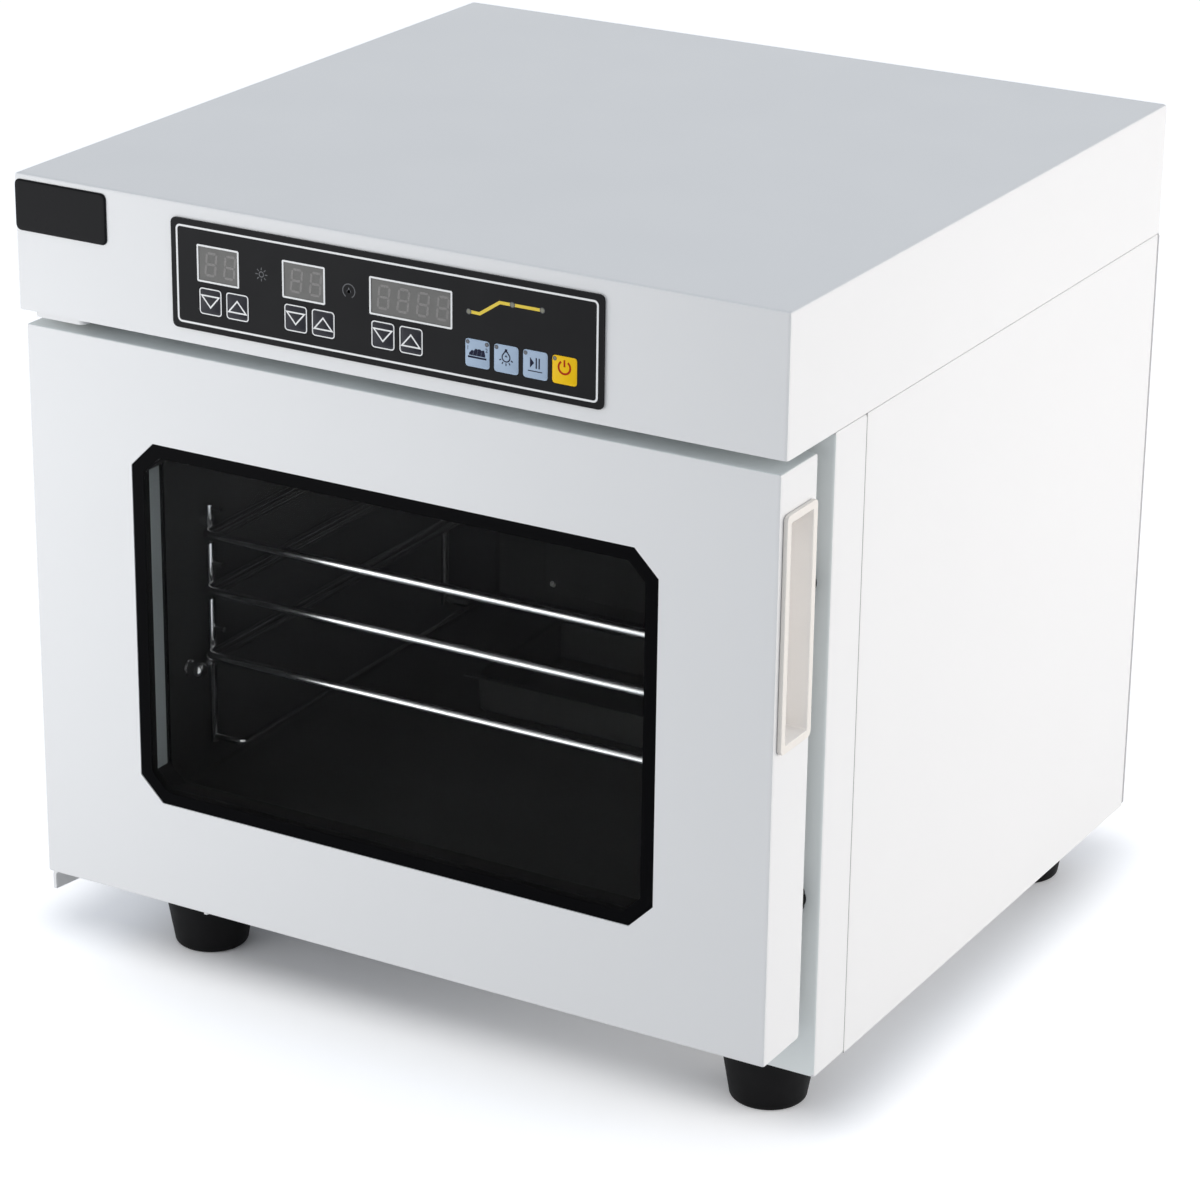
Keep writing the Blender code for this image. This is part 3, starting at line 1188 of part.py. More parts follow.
def make_window():
    """The outer pane and the ring that holds it from behind."""
    glass = octagon_slab("window_glass", 0.0, GLASS_FRONT, GLASS_BACK, TINTED_GLASS)
    ring = octagon_slab("window_retainer", RETAINER_LAND, DOOR_FRONT + SHEET + TOUCH,
                        GLASS_BACK + TOUCH + RETAINER_DEPTH, BLACK_PLASTIC)
    join_solid(ring, octagon_slab("glass_pocket", TOUCH, DOOR_FRONT, GLASS_BACK + TOUCH))
    join_solid(ring, octagon_slab("clear_opening", -RETAINER_OVERLAP, DOOR_FRONT,
                                  GLASS_BACK + RETAINER_DEPTH + OVERRUN))
    return glass, ring


def make_door_panel():
    """The flat panel that closes the door's back, with its own window."""
    inside = DOOR_BACK_BEND + TOUCH
    panel = slab("door_inner_panel",
                 (-DOOR_SIDE + inside, DOOR_PANEL_BACK - DOOR_PANEL_THICK, DOOR_BOTTOM + inside),
                 (DOOR_SIDE - inside, DOOR_PANEL_BACK, DOOR_TOP - inside), WHITE_ENAMEL,
                 axis=1, corner=DOOR_BACK_BEND, steps=BEND_STEPS)
    (x0, z0), (x1, z1) = octagon(INNER_WINDOW_GROWTH)
    cut_slabs(panel, "inner_window", [((x0, DOOR_PANEL_BACK - DOOR_PANEL_THICK - OVERRUN, z0),
                                       (x1, DOOR_PANEL_BACK + OVERRUN, z1))],
              axis=1, corner=INNER_WINDOW_CORNER, steps=3)
    return panel


def make_inner_glass():
    """The second pane, against the inner panel."""
    (x0, z0), (x1, z1) = octagon(INNER_WINDOW_GROWTH + INNER_GLASS_LAND)
    back = DOOR_PANEL_BACK - DOOR_PANEL_THICK - TOUCH
    return slab("inner_glass", (x0, back - INNER_GLASS_THICK, z0), (x1, back, z1), CLEAR_GLASS,
                axis=1, corner=INNER_WINDOW_CORNER, steps=2)


def make_gasket():
    """The silicone seal round the chamber mouth."""
    front, back = DOOR_PANEL_BACK + TOUCH, CASE_FRONT - TOUCH
    side, low, high = CHAMBER_SIDE, CHAMBER_FLOOR, CHAMBER_TOP
    bm = bmesh.new()
    wide = GASKET_WIDTH
    add_slab(bm, (-side - wide, front, low - wide), (side + wide, back, high + wide), axis=1,
             corner=wide, steps=3)
    gasket = finish_mesh("door_gasket", bm, SILICONE)
    lips = gasket.modifiers.new("soft edges", "BEVEL")
    lips.width = GASKET_EDGE
    lips.segments = 2
    lips.limit_method = "ANGLE"
    lips.angle_limit = math.radians(60)
    cut_slabs(gasket, "gasket_inside", [((-side, front - OVERRUN, low), (side, back + OVERRUN, high))],
              axis=1, corner=CHAMBER_CORNER, steps=BEND_STEPS)
    return gasket


def pull_face():
    """The pull's rim on the door's side, as low and high corners in depth and height."""
    front, top = DOOR_FRONT + PULL_SETBACK, DOOR_TOP - PULL_TOP_DROP
    return (front, top - PULL_HEIGHT), (front + PULL_WIDTH, top)


def pull_body():
    """The outside of the pull's recess, in depth and height."""
    (y0, z0), (y1, z1) = pull_face()
    inset = PULL_RIM_WIDTH - PULL_WALL
    return (y0 + inset, z0 + inset), (y1 - inset, z1 - inset)


def make_pull():
    """The recessed pull: a rim, a body through the door's side and the finger recess."""
    (y0, z0), (y1, z1) = pull_face()
    inner = DOOR_SIDE + TOUCH
    outer = inner + PULL_RIM_THICK
    pull = slab("pull_cup", (inner, y0, z0), (outer, y1, z1), CREAM_PLASTIC, axis=0,
                corner=PULL_CORNER, steps=PULL_CORNER_STEPS)
    (b0, c0), (b1, c1) = pull_body()
    bottom = outer - PULL_DEPTH - PULL_WALL
    join_solid(pull, slab("pull_body", (bottom, b0, c0), (inner + EMBED, b1, c1), axis=0,
                          corner=PULL_CORNER / 2, steps=2), "UNION")
    wall = PULL_WALL
    recess = slab("pull_recess", (outer - PULL_DEPTH, b0 + wall, c0 + wall),
                  (outer + OVERRUN, b1 - wall, c1 - wall), axis=0, corner=PULL_CORNER / 3, steps=2)
    return join_solid(pull, recess)


def make_bushes():
    """Nylon bushes in the door's top and bottom flanges."""
    bore = clear_radius(PIN_RADIUS + PIN_CLEARANCE, HIDDEN_ROUND_STEPS)
    made = []
    for name, z, up in (("upper_bush", DOOR_TOP + TOUCH, 1), ("lower_bush", DOOR_BOTTOM - TOUCH, -1)):
        profile = [(BUSH_FLANGE_RADIUS, BUSH_FLANGE), (BUSH_FLANGE_RADIUS, 0.0), (BUSH_RADIUS, 0.0),
                   (BUSH_RADIUS, -BUSH_LENGTH), (bore, -BUSH_LENGTH), (bore, BUSH_FLANGE)]
        rotation = (0.0, 0.0, 0.0) if up > 0 else (math.pi, 0.0, 0.0)
        made.append(turned(name, profile, NYLON, (*PIVOT, z), rotation, HIDDEN_ROUND_STEPS, True))
    return made


make_hood()
make_fascia()
make_displays()
make_keys()
make_control_board()
make_power_board()
make_case()
make_inlet()
make_feet()
make_chamber()
make_rack("rack_left", -1)
make_rack("rack_right", 1)
make_trays()
make_pan()
make_fan()
make_heater()
make_baffle()
make_lamp()
make_probe()
make_case_hinges()
make_catches()
make_door()
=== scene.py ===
"""The looks of a countertop proofing cabinet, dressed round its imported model.

Sheet pieces get soft bends, rods and feet get rounder shapes, and the control film its printing.
Metres, +Z up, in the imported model's own frame: the front faces -Y.
"""
import json
import math
from typing import NamedTuple

import bmesh
import bpy
from mathutils import Euler, Matrix, Vector


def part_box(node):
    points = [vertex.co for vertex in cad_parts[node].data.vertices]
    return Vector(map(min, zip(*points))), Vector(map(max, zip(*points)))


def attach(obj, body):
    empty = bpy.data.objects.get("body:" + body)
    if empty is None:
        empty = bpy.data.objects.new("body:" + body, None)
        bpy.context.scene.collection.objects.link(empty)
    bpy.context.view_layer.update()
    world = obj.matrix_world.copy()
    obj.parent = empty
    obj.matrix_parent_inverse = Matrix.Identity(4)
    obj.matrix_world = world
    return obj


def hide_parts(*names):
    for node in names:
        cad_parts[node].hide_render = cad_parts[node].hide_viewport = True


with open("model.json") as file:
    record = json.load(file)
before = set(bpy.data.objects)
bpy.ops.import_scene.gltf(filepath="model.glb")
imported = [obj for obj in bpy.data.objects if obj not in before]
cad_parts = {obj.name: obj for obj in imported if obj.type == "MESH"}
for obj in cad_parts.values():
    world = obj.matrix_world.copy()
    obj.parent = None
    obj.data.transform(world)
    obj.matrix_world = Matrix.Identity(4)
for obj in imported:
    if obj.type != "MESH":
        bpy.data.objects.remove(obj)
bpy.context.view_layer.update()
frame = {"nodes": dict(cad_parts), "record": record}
NODES = frame["nodes"]
BODY_OF = {node: body for body, nodes in frame["record"]["behaviour"]["bodies"].items()
           for node in nodes}
SLOT_OF = {row["node"]: row["material_slot"] for row in frame["record"]["subparts"]}

# Camera and light
CAMERA_PLACE = (1.09615, -1.93120, 1.08316)
CAMERA_TURN = (68.5917, -0.6909, 29.9306)
CAMERA_LENS = 123.37
CAMERA_SENSOR = 36.0
CAMERA_REACH = 60.0
ZENITH = (0.52, 0.585, 0.665)
HORIZON = (0.70, 0.71, 0.72)
SKY_START = 0.35
FLOOR_SIZE = 14.0
FLOOR_BOUNCE = (0.60, 0.60, 0.60)
FLOOR_SHOWN = (0.98, 0.98, 1.0)
# Painted light on the floor: a glow that rises away from a turned rectangle round the cabinet, and
# along its right side
FLOOR_GLOW = 0.42
GLOW_MIDDLE = (-0.029, 0.05)
GLOW_HALF = (0.237, 0.190)
GLOW_TURN = 0.026
GLOW_FADE = 0.055
RIGHT_GLOW = 0.11
RIGHT_FADE = (-0.10, 0.13)
WHITE = (1.0, 1.0, 1.0)
# Each lamp's name, place, target, size, power and colour
LAMPS = (("left_panel", (-0.60, -0.86, 0.28), (0.0, -0.235, 0.24), (0.8, 0.6), 3.06, WHITE),
         ("right_panel", (1.65, 0.45, 0.30), (0.235, 0.05, 0.24), (1.4, 0.8), 14.6,
          (1.0, 0.94, 0.88)))

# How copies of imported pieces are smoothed
MERGE = 0.00001
FLAT_TURN = 0.2
SOFT_TURN = 35.0
EDGE_STEPS = 2
ROD_STEPS = 5

# Rods and feet
TRAY_ROD = 0.00275
TRAY_CORNER = 0.0045
RACK_ROD = 0.0025
PEG_ROD = 0.0015
LEDGE_ROD = 0.0020
LEDGE_REACH = 0.0205
LEDGE_RISE = 0.0035
LEDGE_CORNER = 0.0035
RACK_TURN = 50.0
UPRIGHT_GAP = 0.0030
UPRIGHT_INSET = 0.0105
ROD_TIE = 0.0004
TRAY_GAP = 0.0003
PEG_RISE = 0.0112
PEG_REACH = 0.0085
STAND_ROD = 0.0042
STAND_LOW = 0.0758
STAND_HIGH = 0.010
FOOT_STEPS = 64
FOOT_TAPER = 0.773
FOOT_EDGE = 0.0032
FOOT_TOP_EDGE = 0.0008
FOOT_WAIST = 0.52
SOCKET_RADIUS = 0.0065
SOCKET_DEPTH = 0.0035
SOCKET_MOUTH = (0.0072, 0.0006)

# Printing
INK = 0.00005
INK_SINK = 0.00002
SHARPEST_MITRE = 0.35
DISC_STEPS = 24


# Shader groups

FLOAT, COLOUR, VECTOR = "NodeSocketFloat", "NodeSocketColor", "NodeSocketVector"
CLOUD_CONTRAST = 4.0


def shader_group(name, inputs, outputs):
    """Start a shader group; inputs are (label, kind, value) and outputs are (label, kind)."""
    tree = bpy.data.node_groups.new(name, "ShaderNodeTree")
    for label, kind, value in inputs:
        socket = tree.interface.new_socket(label, in_out="INPUT", socket_type=kind)
        socket.default_value = value
    for label, kind in outputs:
        tree.interface.new_socket(label, in_out="OUTPUT", socket_type=kind)
    return tree, tree.nodes.new("NodeGroupInput").outputs, tree.nodes.new("NodeGroupOutput").inputs


def add(tree, kind, **settings):
    """Add a shader node and set its options."""
    node = tree.nodes.new("ShaderNode" + kind)
    for key, value in settings.items():
        setattr(node, key, value)
    return node


def sum_up(tree, operation, first, second, third=None):
    """Add a maths node; each term is a number or a socket."""
    node = add(tree, "Math", operation=operation)
    for socket, term in zip(node.inputs, (first, second, third)):
        if isinstance(term, (int, float)):
            socket.default_value = term
        elif term is not None:
            tree.links.new(term, socket)
    return node.outputs[0]


def noise(tree, size, detail=2.0, stretch=None):
    """Add a noise whose blobs are about size across, in the object's own metres."""
    place = add(tree, "TexCoord").outputs["Object"]
    if stretch is not None:
        pull = add(tree, "VectorMath", operation="MULTIPLY")
        tree.links.new(place, pull.inputs[0])
        tree.links.new(stretch, pull.inputs[1])
        place = pull.outputs[0]
    texture = add(tree, "TexNoise")
    texture.inputs["Detail"].default_value = detail
    tree.links.new(place, texture.inputs["Vector"])
    tree.links.new(sum_up(tree, "DIVIDE", 1.0, size), texture.inputs["Scale"])
    return texture.outputs["Fac"]


def drift(tree, field, amount, middle):
    """Let a field that runs from zero to one move a value about its middle."""
    return sum_up(tree, "MULTIPLY_ADD", sum_up(tree, "SUBTRACT", field, 0.5), amount, middle)


def shade_colour(tree, colour, factor, target):
    """Multiply a colour by a factor on its way to a socket."""
    scale = add(tree, "VectorMath", operation="SCALE")
    tree.links.new(colour, scale.inputs[0])
    tree.links.new(factor, scale.inputs["Scale"])
    tree.links.new(scale.outputs[0], target)


def make_colour_clouds():
    """A colour that drifts a little lighter and darker over a surface."""
    tree, given, result = shader_group(
        "colour_clouds", [("Colour", COLOUR, (0.5, 0.5, 0.5, 1.0)), ("Size", FLOAT, 0.1),
                          ("Amount", FLOAT, 0.03)], [("Colour", COLOUR)])
    amount = sum_up(tree, "MULTIPLY", given["Amount"], CLOUD_CONTRAST)
    shade_colour(tree, given["Colour"], drift(tree, noise(tree, given["Size"]), amount, 1.0),
                 result["Colour"])
    return tree


def make_gloss_clouds():
    """A roughness that drifts over a surface."""
    tree, given, result = shader_group(
        "gloss_clouds", [("Roughness", FLOAT, 0.4), ("Size", FLOAT, 0.03), ("Spread", FLOAT, 0.05)],
        [("Roughness", FLOAT)])
    amount = sum_up(tree, "MULTIPLY", given["Spread"], CLOUD_CONTRAST)
    tree.links.new(drift(tree, noise(tree, given["Size"], 3.0), amount, given["Roughness"]),
                   result["Roughness"])
    return tree


def make_fine_relief():
    """A small even grain, as height from zero to one."""
    tree, given, result = shader_group("fine_relief", [("Size", FLOAT, 0.001)], [("Height", FLOAT)])
    tree.links.new(noise(tree, given["Size"], 1.0), result["Height"])
    return tree


def make_brush_lines():
    """Fine lines drawn out along one way, as height and as a tone about one."""
    tree, given, result = shader_group(
        "brush_lines", [("Size", FLOAT, 0.0006), ("Stretch", VECTOR, (0.02, 1.0, 1.0)),
                        ("Amount", FLOAT, 0.1)], [("Height", FLOAT), ("Tone", FLOAT)])
    lines = noise(tree, given["Size"], 2.0, given["Stretch"])
    tree.links.new(lines, result["Height"])
    tree.links.new(drift(tree, lines, given["Amount"], 1.0), result["Tone"])
    return tree


def make_spangle():
    """The crystal patches of zinc coating, as a tone about one."""
    tree, given, result = shader_group(
        "zinc_spangle", [("Size", FLOAT, 0.008), ("Amount", FLOAT, 0.2)],
        [("Tone", FLOAT), ("Height", FLOAT)])
    cells = add(tree, "TexVoronoi", feature="SMOOTH_F1")
    cells.inputs["Smoothness"].default_value = 0.15
    tree.links.new(add(tree, "TexCoord").outputs["Object"], cells.inputs["Vector"])
    tree.links.new(sum_up(tree, "DIVIDE", 1.0, given["Size"]), cells.inputs["Scale"])
    split = add(tree, "SeparateColor")
    tree.links.new(cells.outputs["Color"], split.inputs[0])
    tree.links.new(drift(tree, split.outputs[0], given["Amount"], 1.0), result["Tone"])
    tree.links.new(split.outputs[1], result["Height"])
    return tree


COLOUR_CLOUDS = make_colour_clouds()
GLOSS_CLOUDS = make_gloss_clouds()
FINE_RELIEF = make_fine_relief()
BRUSH_LINES = make_brush_lines()
SPANGLE = make_spangle()


# Materials

class Finish(NamedTuple):
    """Colour and gloss, how each drifts, the size and depth of the grain, and the shine."""
    colour: tuple
    roughness: float
    metallic: float = 0.0
    cloud_size: float = 0.08
    cloud_amount: float = 0.02
    gloss_size: float = 0.03
    gloss_spread: float = 0.05
    grain_size: float = 0.0012
    grain_depth: float = 0.00001
    shine: float = 0.5


def use_group(tree, group, **values):
    """Place a shader group with its own values."""
    node = add(tree, "Group")
    node.node_tree = group
    for label, value in values.items():
        node.inputs[label].default_value = value
    return node


def raise_grain(tree, height, depth):
    """Feed a height to the shader's normal."""
    bump = add(tree, "Bump")
    bump.inputs["Distance"].default_value = depth
    tree.links.new(height, bump.inputs["Height"])
    tree.links.new(bump.outputs["Normal"], tree.nodes["Principled BSDF"].inputs["Normal"])


def paint(name, finish):
    """A material whose colour and gloss drift, with a fine grain."""
    material = bpy.data.materials.new(name)
    material.use_nodes = True
    tree = material.node_tree
    shader = tree.nodes["Principled BSDF"]
    shader.inputs["Metallic"].default_value = finish.metallic
    shader.inputs["Specular IOR Level"].default_value = finish.shine
    clouds = use_group(tree, COLOUR_CLOUDS, Colour=(*finish.colour, 1.0), Size=finish.cloud_size,
                       Amount=finish.cloud_amount)
    gloss = use_group(tree, GLOSS_CLOUDS, Roughness=finish.roughness, Size=finish.gloss_size,
                      Spread=finish.gloss_spread)
    relief = use_group(tree, FINE_RELIEF, Size=finish.grain_size)
    tree.links.new(clouds.outputs["Colour"], shader.inputs["Base Color"])
    tree.links.new(gloss.outputs["Roughness"], shader.inputs["Roughness"])
    raise_grain(tree, relief.outputs["Height"], finish.grain_depth)
    return material


def tone_down(material, tone):
    """Multiply a material's colour by a tone that changes over the surface."""
    tree = material.node_tree
    target = tree.nodes["Principled BSDF"].inputs["Base Color"]
    source = target.links[0].from_socket
    shade_colour(tree, source, tone, target)


def brushed(name, finish):
    """A metal with fine lines drawn along X."""
    material = paint(name, finish)
    tree = material.node_tree
    lines = use_group(tree, BRUSH_LINES, Size=0.0005, Stretch=(0.02, 1.0, 1.0), Amount=0.25)
    tone_down(material, lines.outputs["Tone"])
    tree.links.new(lines.outputs["Height"], tree.nodes["Bump"].inputs["Height"])
    return material


def galvanised(name, finish):
    """Zinc-coated sheet with crystal patches."""
    material = paint(name, finish)
    tree = material.node_tree
    patches = use_group(tree, SPANGLE, Size=0.007, Amount=0.35)
    tone_down(material, patches.outputs["Tone"])
    return material


GLASS_BEND = 1.04
GLASS_ROUGHNESS = 0.012
GLASS_CLOUDS = 0.05
FILM = 0.02
FILM_ROUGHNESS = 0.18


def glazed(name, tint):
    """Thin clear glass whose surface film gives its reflections."""
    material = bpy.data.materials.new(name)
    material.use_nodes = True
    tree = material.node_tree
    shader = tree.nodes["Principled BSDF"]
    for label, value in (("Transmission Weight", 1.0), ("IOR", GLASS_BEND), ("Coat Weight", FILM),
                         ("Coat Roughness", FILM_ROUGHNESS)):
        shader.inputs[label].default_value = value
    clouds = use_group(tree, COLOUR_CLOUDS, Colour=(*tint, 1.0), Size=GLASS_CLOUDS, Amount=0.01)
    gloss = use_group(tree, GLOSS_CLOUDS, Roughness=GLASS_ROUGHNESS, Size=GLASS_CLOUDS,
                      Spread=0.004)
    tree.links.new(clouds.outputs["Colour"], shader.inputs["Base Color"])
    tree.links.new(gloss.outputs["Roughness"], shader.inputs["Roughness"])
    return material


def circuit(name, finish):
    """Green board with lighter tracks."""
    material = paint(name, finish)
    tree = material.node_tree
    tracks = add(tree, "TexBrick")
    tracks.offset, tracks.squash = 0.37, 1.3
    for label, value in (("Scale", 60.0), ("Mortar Size", 0.012), ("Brick Width", 0.45),
                         ("Row Height", 0.18), ("Color1", (0.85, 0.85, 0.85, 1.0)),
                         ("Color2", (1.0, 1.0, 1.0, 1.0)), ("Mortar", (1.9, 1.9, 1.9, 1.0))):
        tracks.inputs[label].default_value = value
    place = add(tree, "TexCoord").outputs["Object"]
    turn = add(tree, "Mapping")
    turn.inputs["Rotation"].default_value = (math.radians(90.0), 0.0, 0.0)
    tree.links.new(place, turn.inputs["Vector"])
    tree.links.new(turn.outputs[0], tracks.inputs["Vector"])
    split = add(tree, "SeparateColor")
    tree.links.new(tracks.outputs["Color"], split.inputs[0])
    tone_down(material, split.outputs[0])
    return material


MATERIALS = {
    "white_enamel": paint("white_enamel_coat", Finish(
        (0.82, 0.82, 0.825), 0.42, 0.0, 0.16, 0.006, 0.05, 0.03, 0.0011, 0.000009)),
    "galvanised_steel": galvanised("galvanised_sheet", Finish(
        (0.58, 0.60, 0.61), 0.38, 0.9, 0.04, 0.02, 0.02, 0.06, 0.002, 0.000006)),
    "stainless_steel": brushed("stainless_sheet", Finish(
        (0.62, 0.62, 0.61), 0.28, 1.0, 0.06, 0.02, 0.02, 0.05, 0.001, 0.000004)),
    "bright_rod": paint("bright_chrome", Finish(
        (0.86, 0.86, 0.87), 0.19, 1.0, 0.02, 0.01, 0.01, 0.03, 0.002, 0.000002)),
    "dark_enamel": paint("dark_enamel_coat", Finish(
        (0.070, 0.072, 0.072), 0.42, 0.0, 0.05, 0.05, 0.03, 0.06, 0.0012, 0.00001, 0.12)),
    "black_film": paint("black_film_sheet", Finish(
        (0.007, 0.007, 0.008), 0.36, 0.0, 0.03, 0.04, 0.02, 0.04, 0.0004, 0.000004, 0.08)),
    "display_face": paint("smoked_display_window", Finish(
        (0.162, 0.159, 0.152), 0.30, 0.0, 0.006, 0.05, 0.01, 0.03, 0.0006, 0.000002, 0.15)),
    "dark_key": paint("dark_key_film", Finish(
        (0.020, 0.020, 0.027), 0.34, 0.0, 0.01, 0.05, 0.006, 0.05, 0.0004, 0.000004, 0.15)),
    "blue_key": paint("blue_key_film", Finish(
        (0.42, 0.53, 0.68), 0.36, 0.0, 0.012, 0.025, 0.006, 0.05, 0.0004, 0.000004, 0.2)),
    "yellow_key": paint("yellow_key_film", Finish(
        (0.97, 0.60, 0.006), 0.36, 0.0, 0.012, 0.02, 0.006, 0.05, 0.0004, 0.000004, 0.15)),
    "circuit_board": circuit("green_circuit_board", Finish(
        (0.025, 0.15, 0.06), 0.40, 0.0, 0.02, 0.03, 0.01, 0.05, 0.001, 0.00001)),
    "black_plastic": paint("moulded_black_plastic", Finish(
        (0.022, 0.022, 0.023), 0.45, 0.0, 0.03, 0.04, 0.01, 0.05, 0.0006, 0.00002)),
    "cream_plastic": paint("moulded_cream_plastic", Finish(
        (0.82, 0.78, 0.73), 0.38, 0.0, 0.04, 0.01, 0.02, 0.05, 0.0009, 0.000008)),
    "nylon": paint("natural_nylon", Finish(
        (0.74, 0.73, 0.68), 0.45, 0.0, 0.01, 0.02, 0.006, 0.04, 0.0008, 0.00001)),
    "silicone": paint("grey_silicone", Finish(
        (0.42, 0.43, 0.43), 0.62, 0.0, 0.03, 0.03, 0.02, 0.05, 0.0009, 0.00003)),
    "foot_rubber": paint("black_foot_rubber", Finish(
        (0.0045, 0.0045, 0.005), 0.60, 0.0, 0.02, 0.08, 0.01, 0.06, 0.0008, 0.00003, 0.12)),
    "mineral_wool": paint("yellow_mineral_wool", Finish(
        (0.66, 0.56, 0.30), 0.95, 0.0, 0.006, 0.12, 0.02, 0.02, 0.002, 0.0008)),
    "tinted_glass": glazed("smoked_glass", (0.80, 0.80, 0.80)),
    "clear_glass": glazed("clear_glass_sheet", (0.94, 0.95, 0.95)),
}
WHITE_INK = paint("white_ink", Finish((0.86, 0.86, 0.86), 0.45, 0.0, 0.004, 0.015))
NAVY_INK = paint("navy_ink", Finish((0.012, 0.013, 0.034), 0.45, 0.0, 0.004, 0.03, shine=0.08))
RED_INK = paint("red_ink", Finish((0.44, 0.030, 0.004), 0.45, 0.0, 0.004, 0.03, shine=0.08))
YELLOW_INK = paint("yellow_ink", Finish((0.80, 0.58, 0.020), 0.45, 0.0, 0.004, 0.02))
GHOST_INK = paint("unlit_segment", Finish((0.150, 0.142, 0.136), 0.35, 0.0, 0.004, 0.05))
DEAD_INK = paint("unlit_symbol", Finish((0.055, 0.058, 0.065), 0.40, 0.0, 0.002, 0.12))
LAMP_DOT = paint("unlit_lamp_dot", Finish((0.060, 0.066, 0.085), 0.25, 0.0, 0.001, 0.06))
OLIVE_DOT = paint("unlit_olive_dot", Finish((0.135, 0.135, 0.085), 0.25, 0.0, 0.001, 0.06))
DOT_RIM = paint("dot_rim_ink", Finish((0.020, 0.022, 0.030), 0.40, 0.0, 0.001, 0.05))
FRIT = paint("black_glass_border", Finish((0.003, 0.003, 0.0035), 0.25, 0.0, 0.03, 0.04,
                                          shine=0.015))
# Near-black for the retainer and the inner panel round the window: painted shade in the window's
# reveal
PAINTED_SHADE_RING = paint("painted_shade_seat_ring", Finish((0.014, 0.014, 0.015), 0.50, 0.0, 0.03, 0.04,
                                           shine=0.1))
# Paler, teal-tinted enamel: painted light for the case front and the door's top, which lie in shade
PAINTED_LIGHT_ENAMEL = paint("case_front_painted_light_enamel", Finish((0.89, 0.93, 0.925), 0.45, 0.0, 0.16, 0.006, 0.05,
                                                  0.03, 0.0011, 0.000009))
# Paler cream: painted light for the shaded recess of the pull
RECESS_PAINTED_LIGHT_CREAM = paint("recess_painted_light_plastic", Finish((0.93, 0.905, 0.88), 0.42, 0.0, 0.04, 0.01, 0.02,
                                                   0.05, 0.0009, 0.000008))
# Grey for the seam beads: painted shade along the case's side seams
SEAM_SHADE_GREY = paint("grey_seam_painted_shade", Finish((0.30, 0.30, 0.30), 0.70, 0.0, 0.01, 0.10))
# Mid grey for bars on the reveal's upright sides: painted light on those sides
PAINTED_LIGHT_BAR_GREY = paint("painted_light_side_bar", Finish((0.36, 0.40, 0.40), 0.50, 0.0, 0.03, 0.03))
BADGE_BLACK = paint("black_badge_lacquer", Finish((0.006, 0.006, 0.007), 0.28, 0.0, 0.02, 0.05,
                                                  shine=0.07))
ZINC = paint("zinc_screw", Finish((0.66, 0.66, 0.64), 0.30, 1.0, 0.002, 0.04, 0.002, 0.06))
HOT_STEEL = paint("heated_steel", Finish((0.24, 0.21, 0.18), 0.42, 0.9, 0.012, 0.10))


# Making and placing pieces

def new_piece(name, mesh):
    """Put a mesh in the scene at the origin."""
    piece = bpy.data.objects.new(name, mesh)
    bpy.context.scene.collection.objects.link(piece)
    return piece


def mesh_piece(name, bm, soft=None):
    """Turn a bmesh into a piece; soft is the largest turn that is smoothed over."""
    bmesh.ops.recalc_face_normals(bm, faces=bm.faces)
    mesh = bpy.data.meshes.new(name)
    bm.to_mesh(mesh)
    bm.free()
    if soft:
        mesh.shade_smooth()
        mesh.set_sharp_from_angle(angle=math.radians(soft))
    return new_piece(name, mesh)


def settle(piece, material, body, stands_for=(), slot=None):
    """Give a piece its material and its body, and hide what it stands for; the slot is not used."""
    piece.data.materials.clear()
    piece.data.materials.append(material)
    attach(piece, body)
    if stands_for:
        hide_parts(*stands_for)
        slot = slot or SLOT_OF[stands_for[0]]
    return piece


def modify(piece, name, kind, **settings):
    """Add a modifier with its settings."""
    change = piece.modifiers.new(name, kind)
    for key, value in settings.items():
        setattr(change, key, value)


def soften(node, edge=0.0, turn=SOFT_TURN, material=None):
    """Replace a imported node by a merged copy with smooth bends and, where asked, broken edges."""
    mesh = NODES[node].data.copy()
    for layer in ("custom_normal", "sharp_edge", "sharp_face"):
        if layer in mesh.attributes:
            mesh.attributes.remove(mesh.attributes[layer])
    bm = bmesh.new()
    bm.from_mesh(mesh)
    bmesh.ops.remove_doubles(bm, verts=bm.verts, dist=MERGE)
    bmesh.ops.dissolve_limit(bm, angle_limit=math.radians(FLAT_TURN), verts=bm.verts,
                             edges=bm.edges)
    bm.to_mesh(mesh)
    bm.free()
    mesh.shade_smooth()
    mesh.set_sharp_from_angle(angle=math.radians(turn))
    piece = new_piece(node + "_finished", mesh)
    if edge:
        modify(piece, "broken_edges", "BEVEL", width=edge, segments=EDGE_STEPS,
               limit_method="ANGLE", angle_limit=math.radians(turn), harden_normals=False,
               use_clamp_overlap=True)
    modify(piece, "even_shading", "WEIGHTED_NORMAL", keep_sharp=True, weight=80)
    return settle(piece, material or MATERIALS[SLOT_OF[node]], BODY_OF[node], (node,))


def baked(thing):
    """Turn a curve or a modified object into a plain mesh piece of the same name."""
    bpy.context.view_layer.update()
    mesh = bpy.data.meshes.new_from_object(thing.evaluated_get(
        bpy.context.evaluated_depsgraph_get()))
    name = thing.name
    bpy.data.objects.remove(thing)
    return new_piece(name, mesh)


def rods(name, lines, radius, closed=False):
    """Round rods through lines of points, as one mesh piece."""
    curve = bpy.data.curves.new(name, "CURVE")
    curve.dimensions = "3D"
    curve.bevel_depth = radius
    curve.bevel_resolution = ROD_STEPS
    curve.use_fill_caps = not closed
    for points in lines:
        line = curve.splines.new("POLY")
        line.points.add(len(points) - 1)
        for spot, point in zip(line.points, points):
            spot.co = (*point, 1.0)
        line.use_cyclic_u = closed
        line.use_smooth = True
    thing = bpy.data.objects.new(name, curve)
    bpy.context.scene.collection.objects.link(thing)
    return baked(thing)


def joined(name, parts):
    """Join mesh pieces into one."""
    bm = bmesh.new()
    for part in parts:
        bm.from_mesh(part.data)
        bpy.data.objects.remove(part)
    mesh = bpy.data.meshes.new(name)
    bm.to_mesh(mesh)
    bm.free()
    return new_piece(name, mesh)


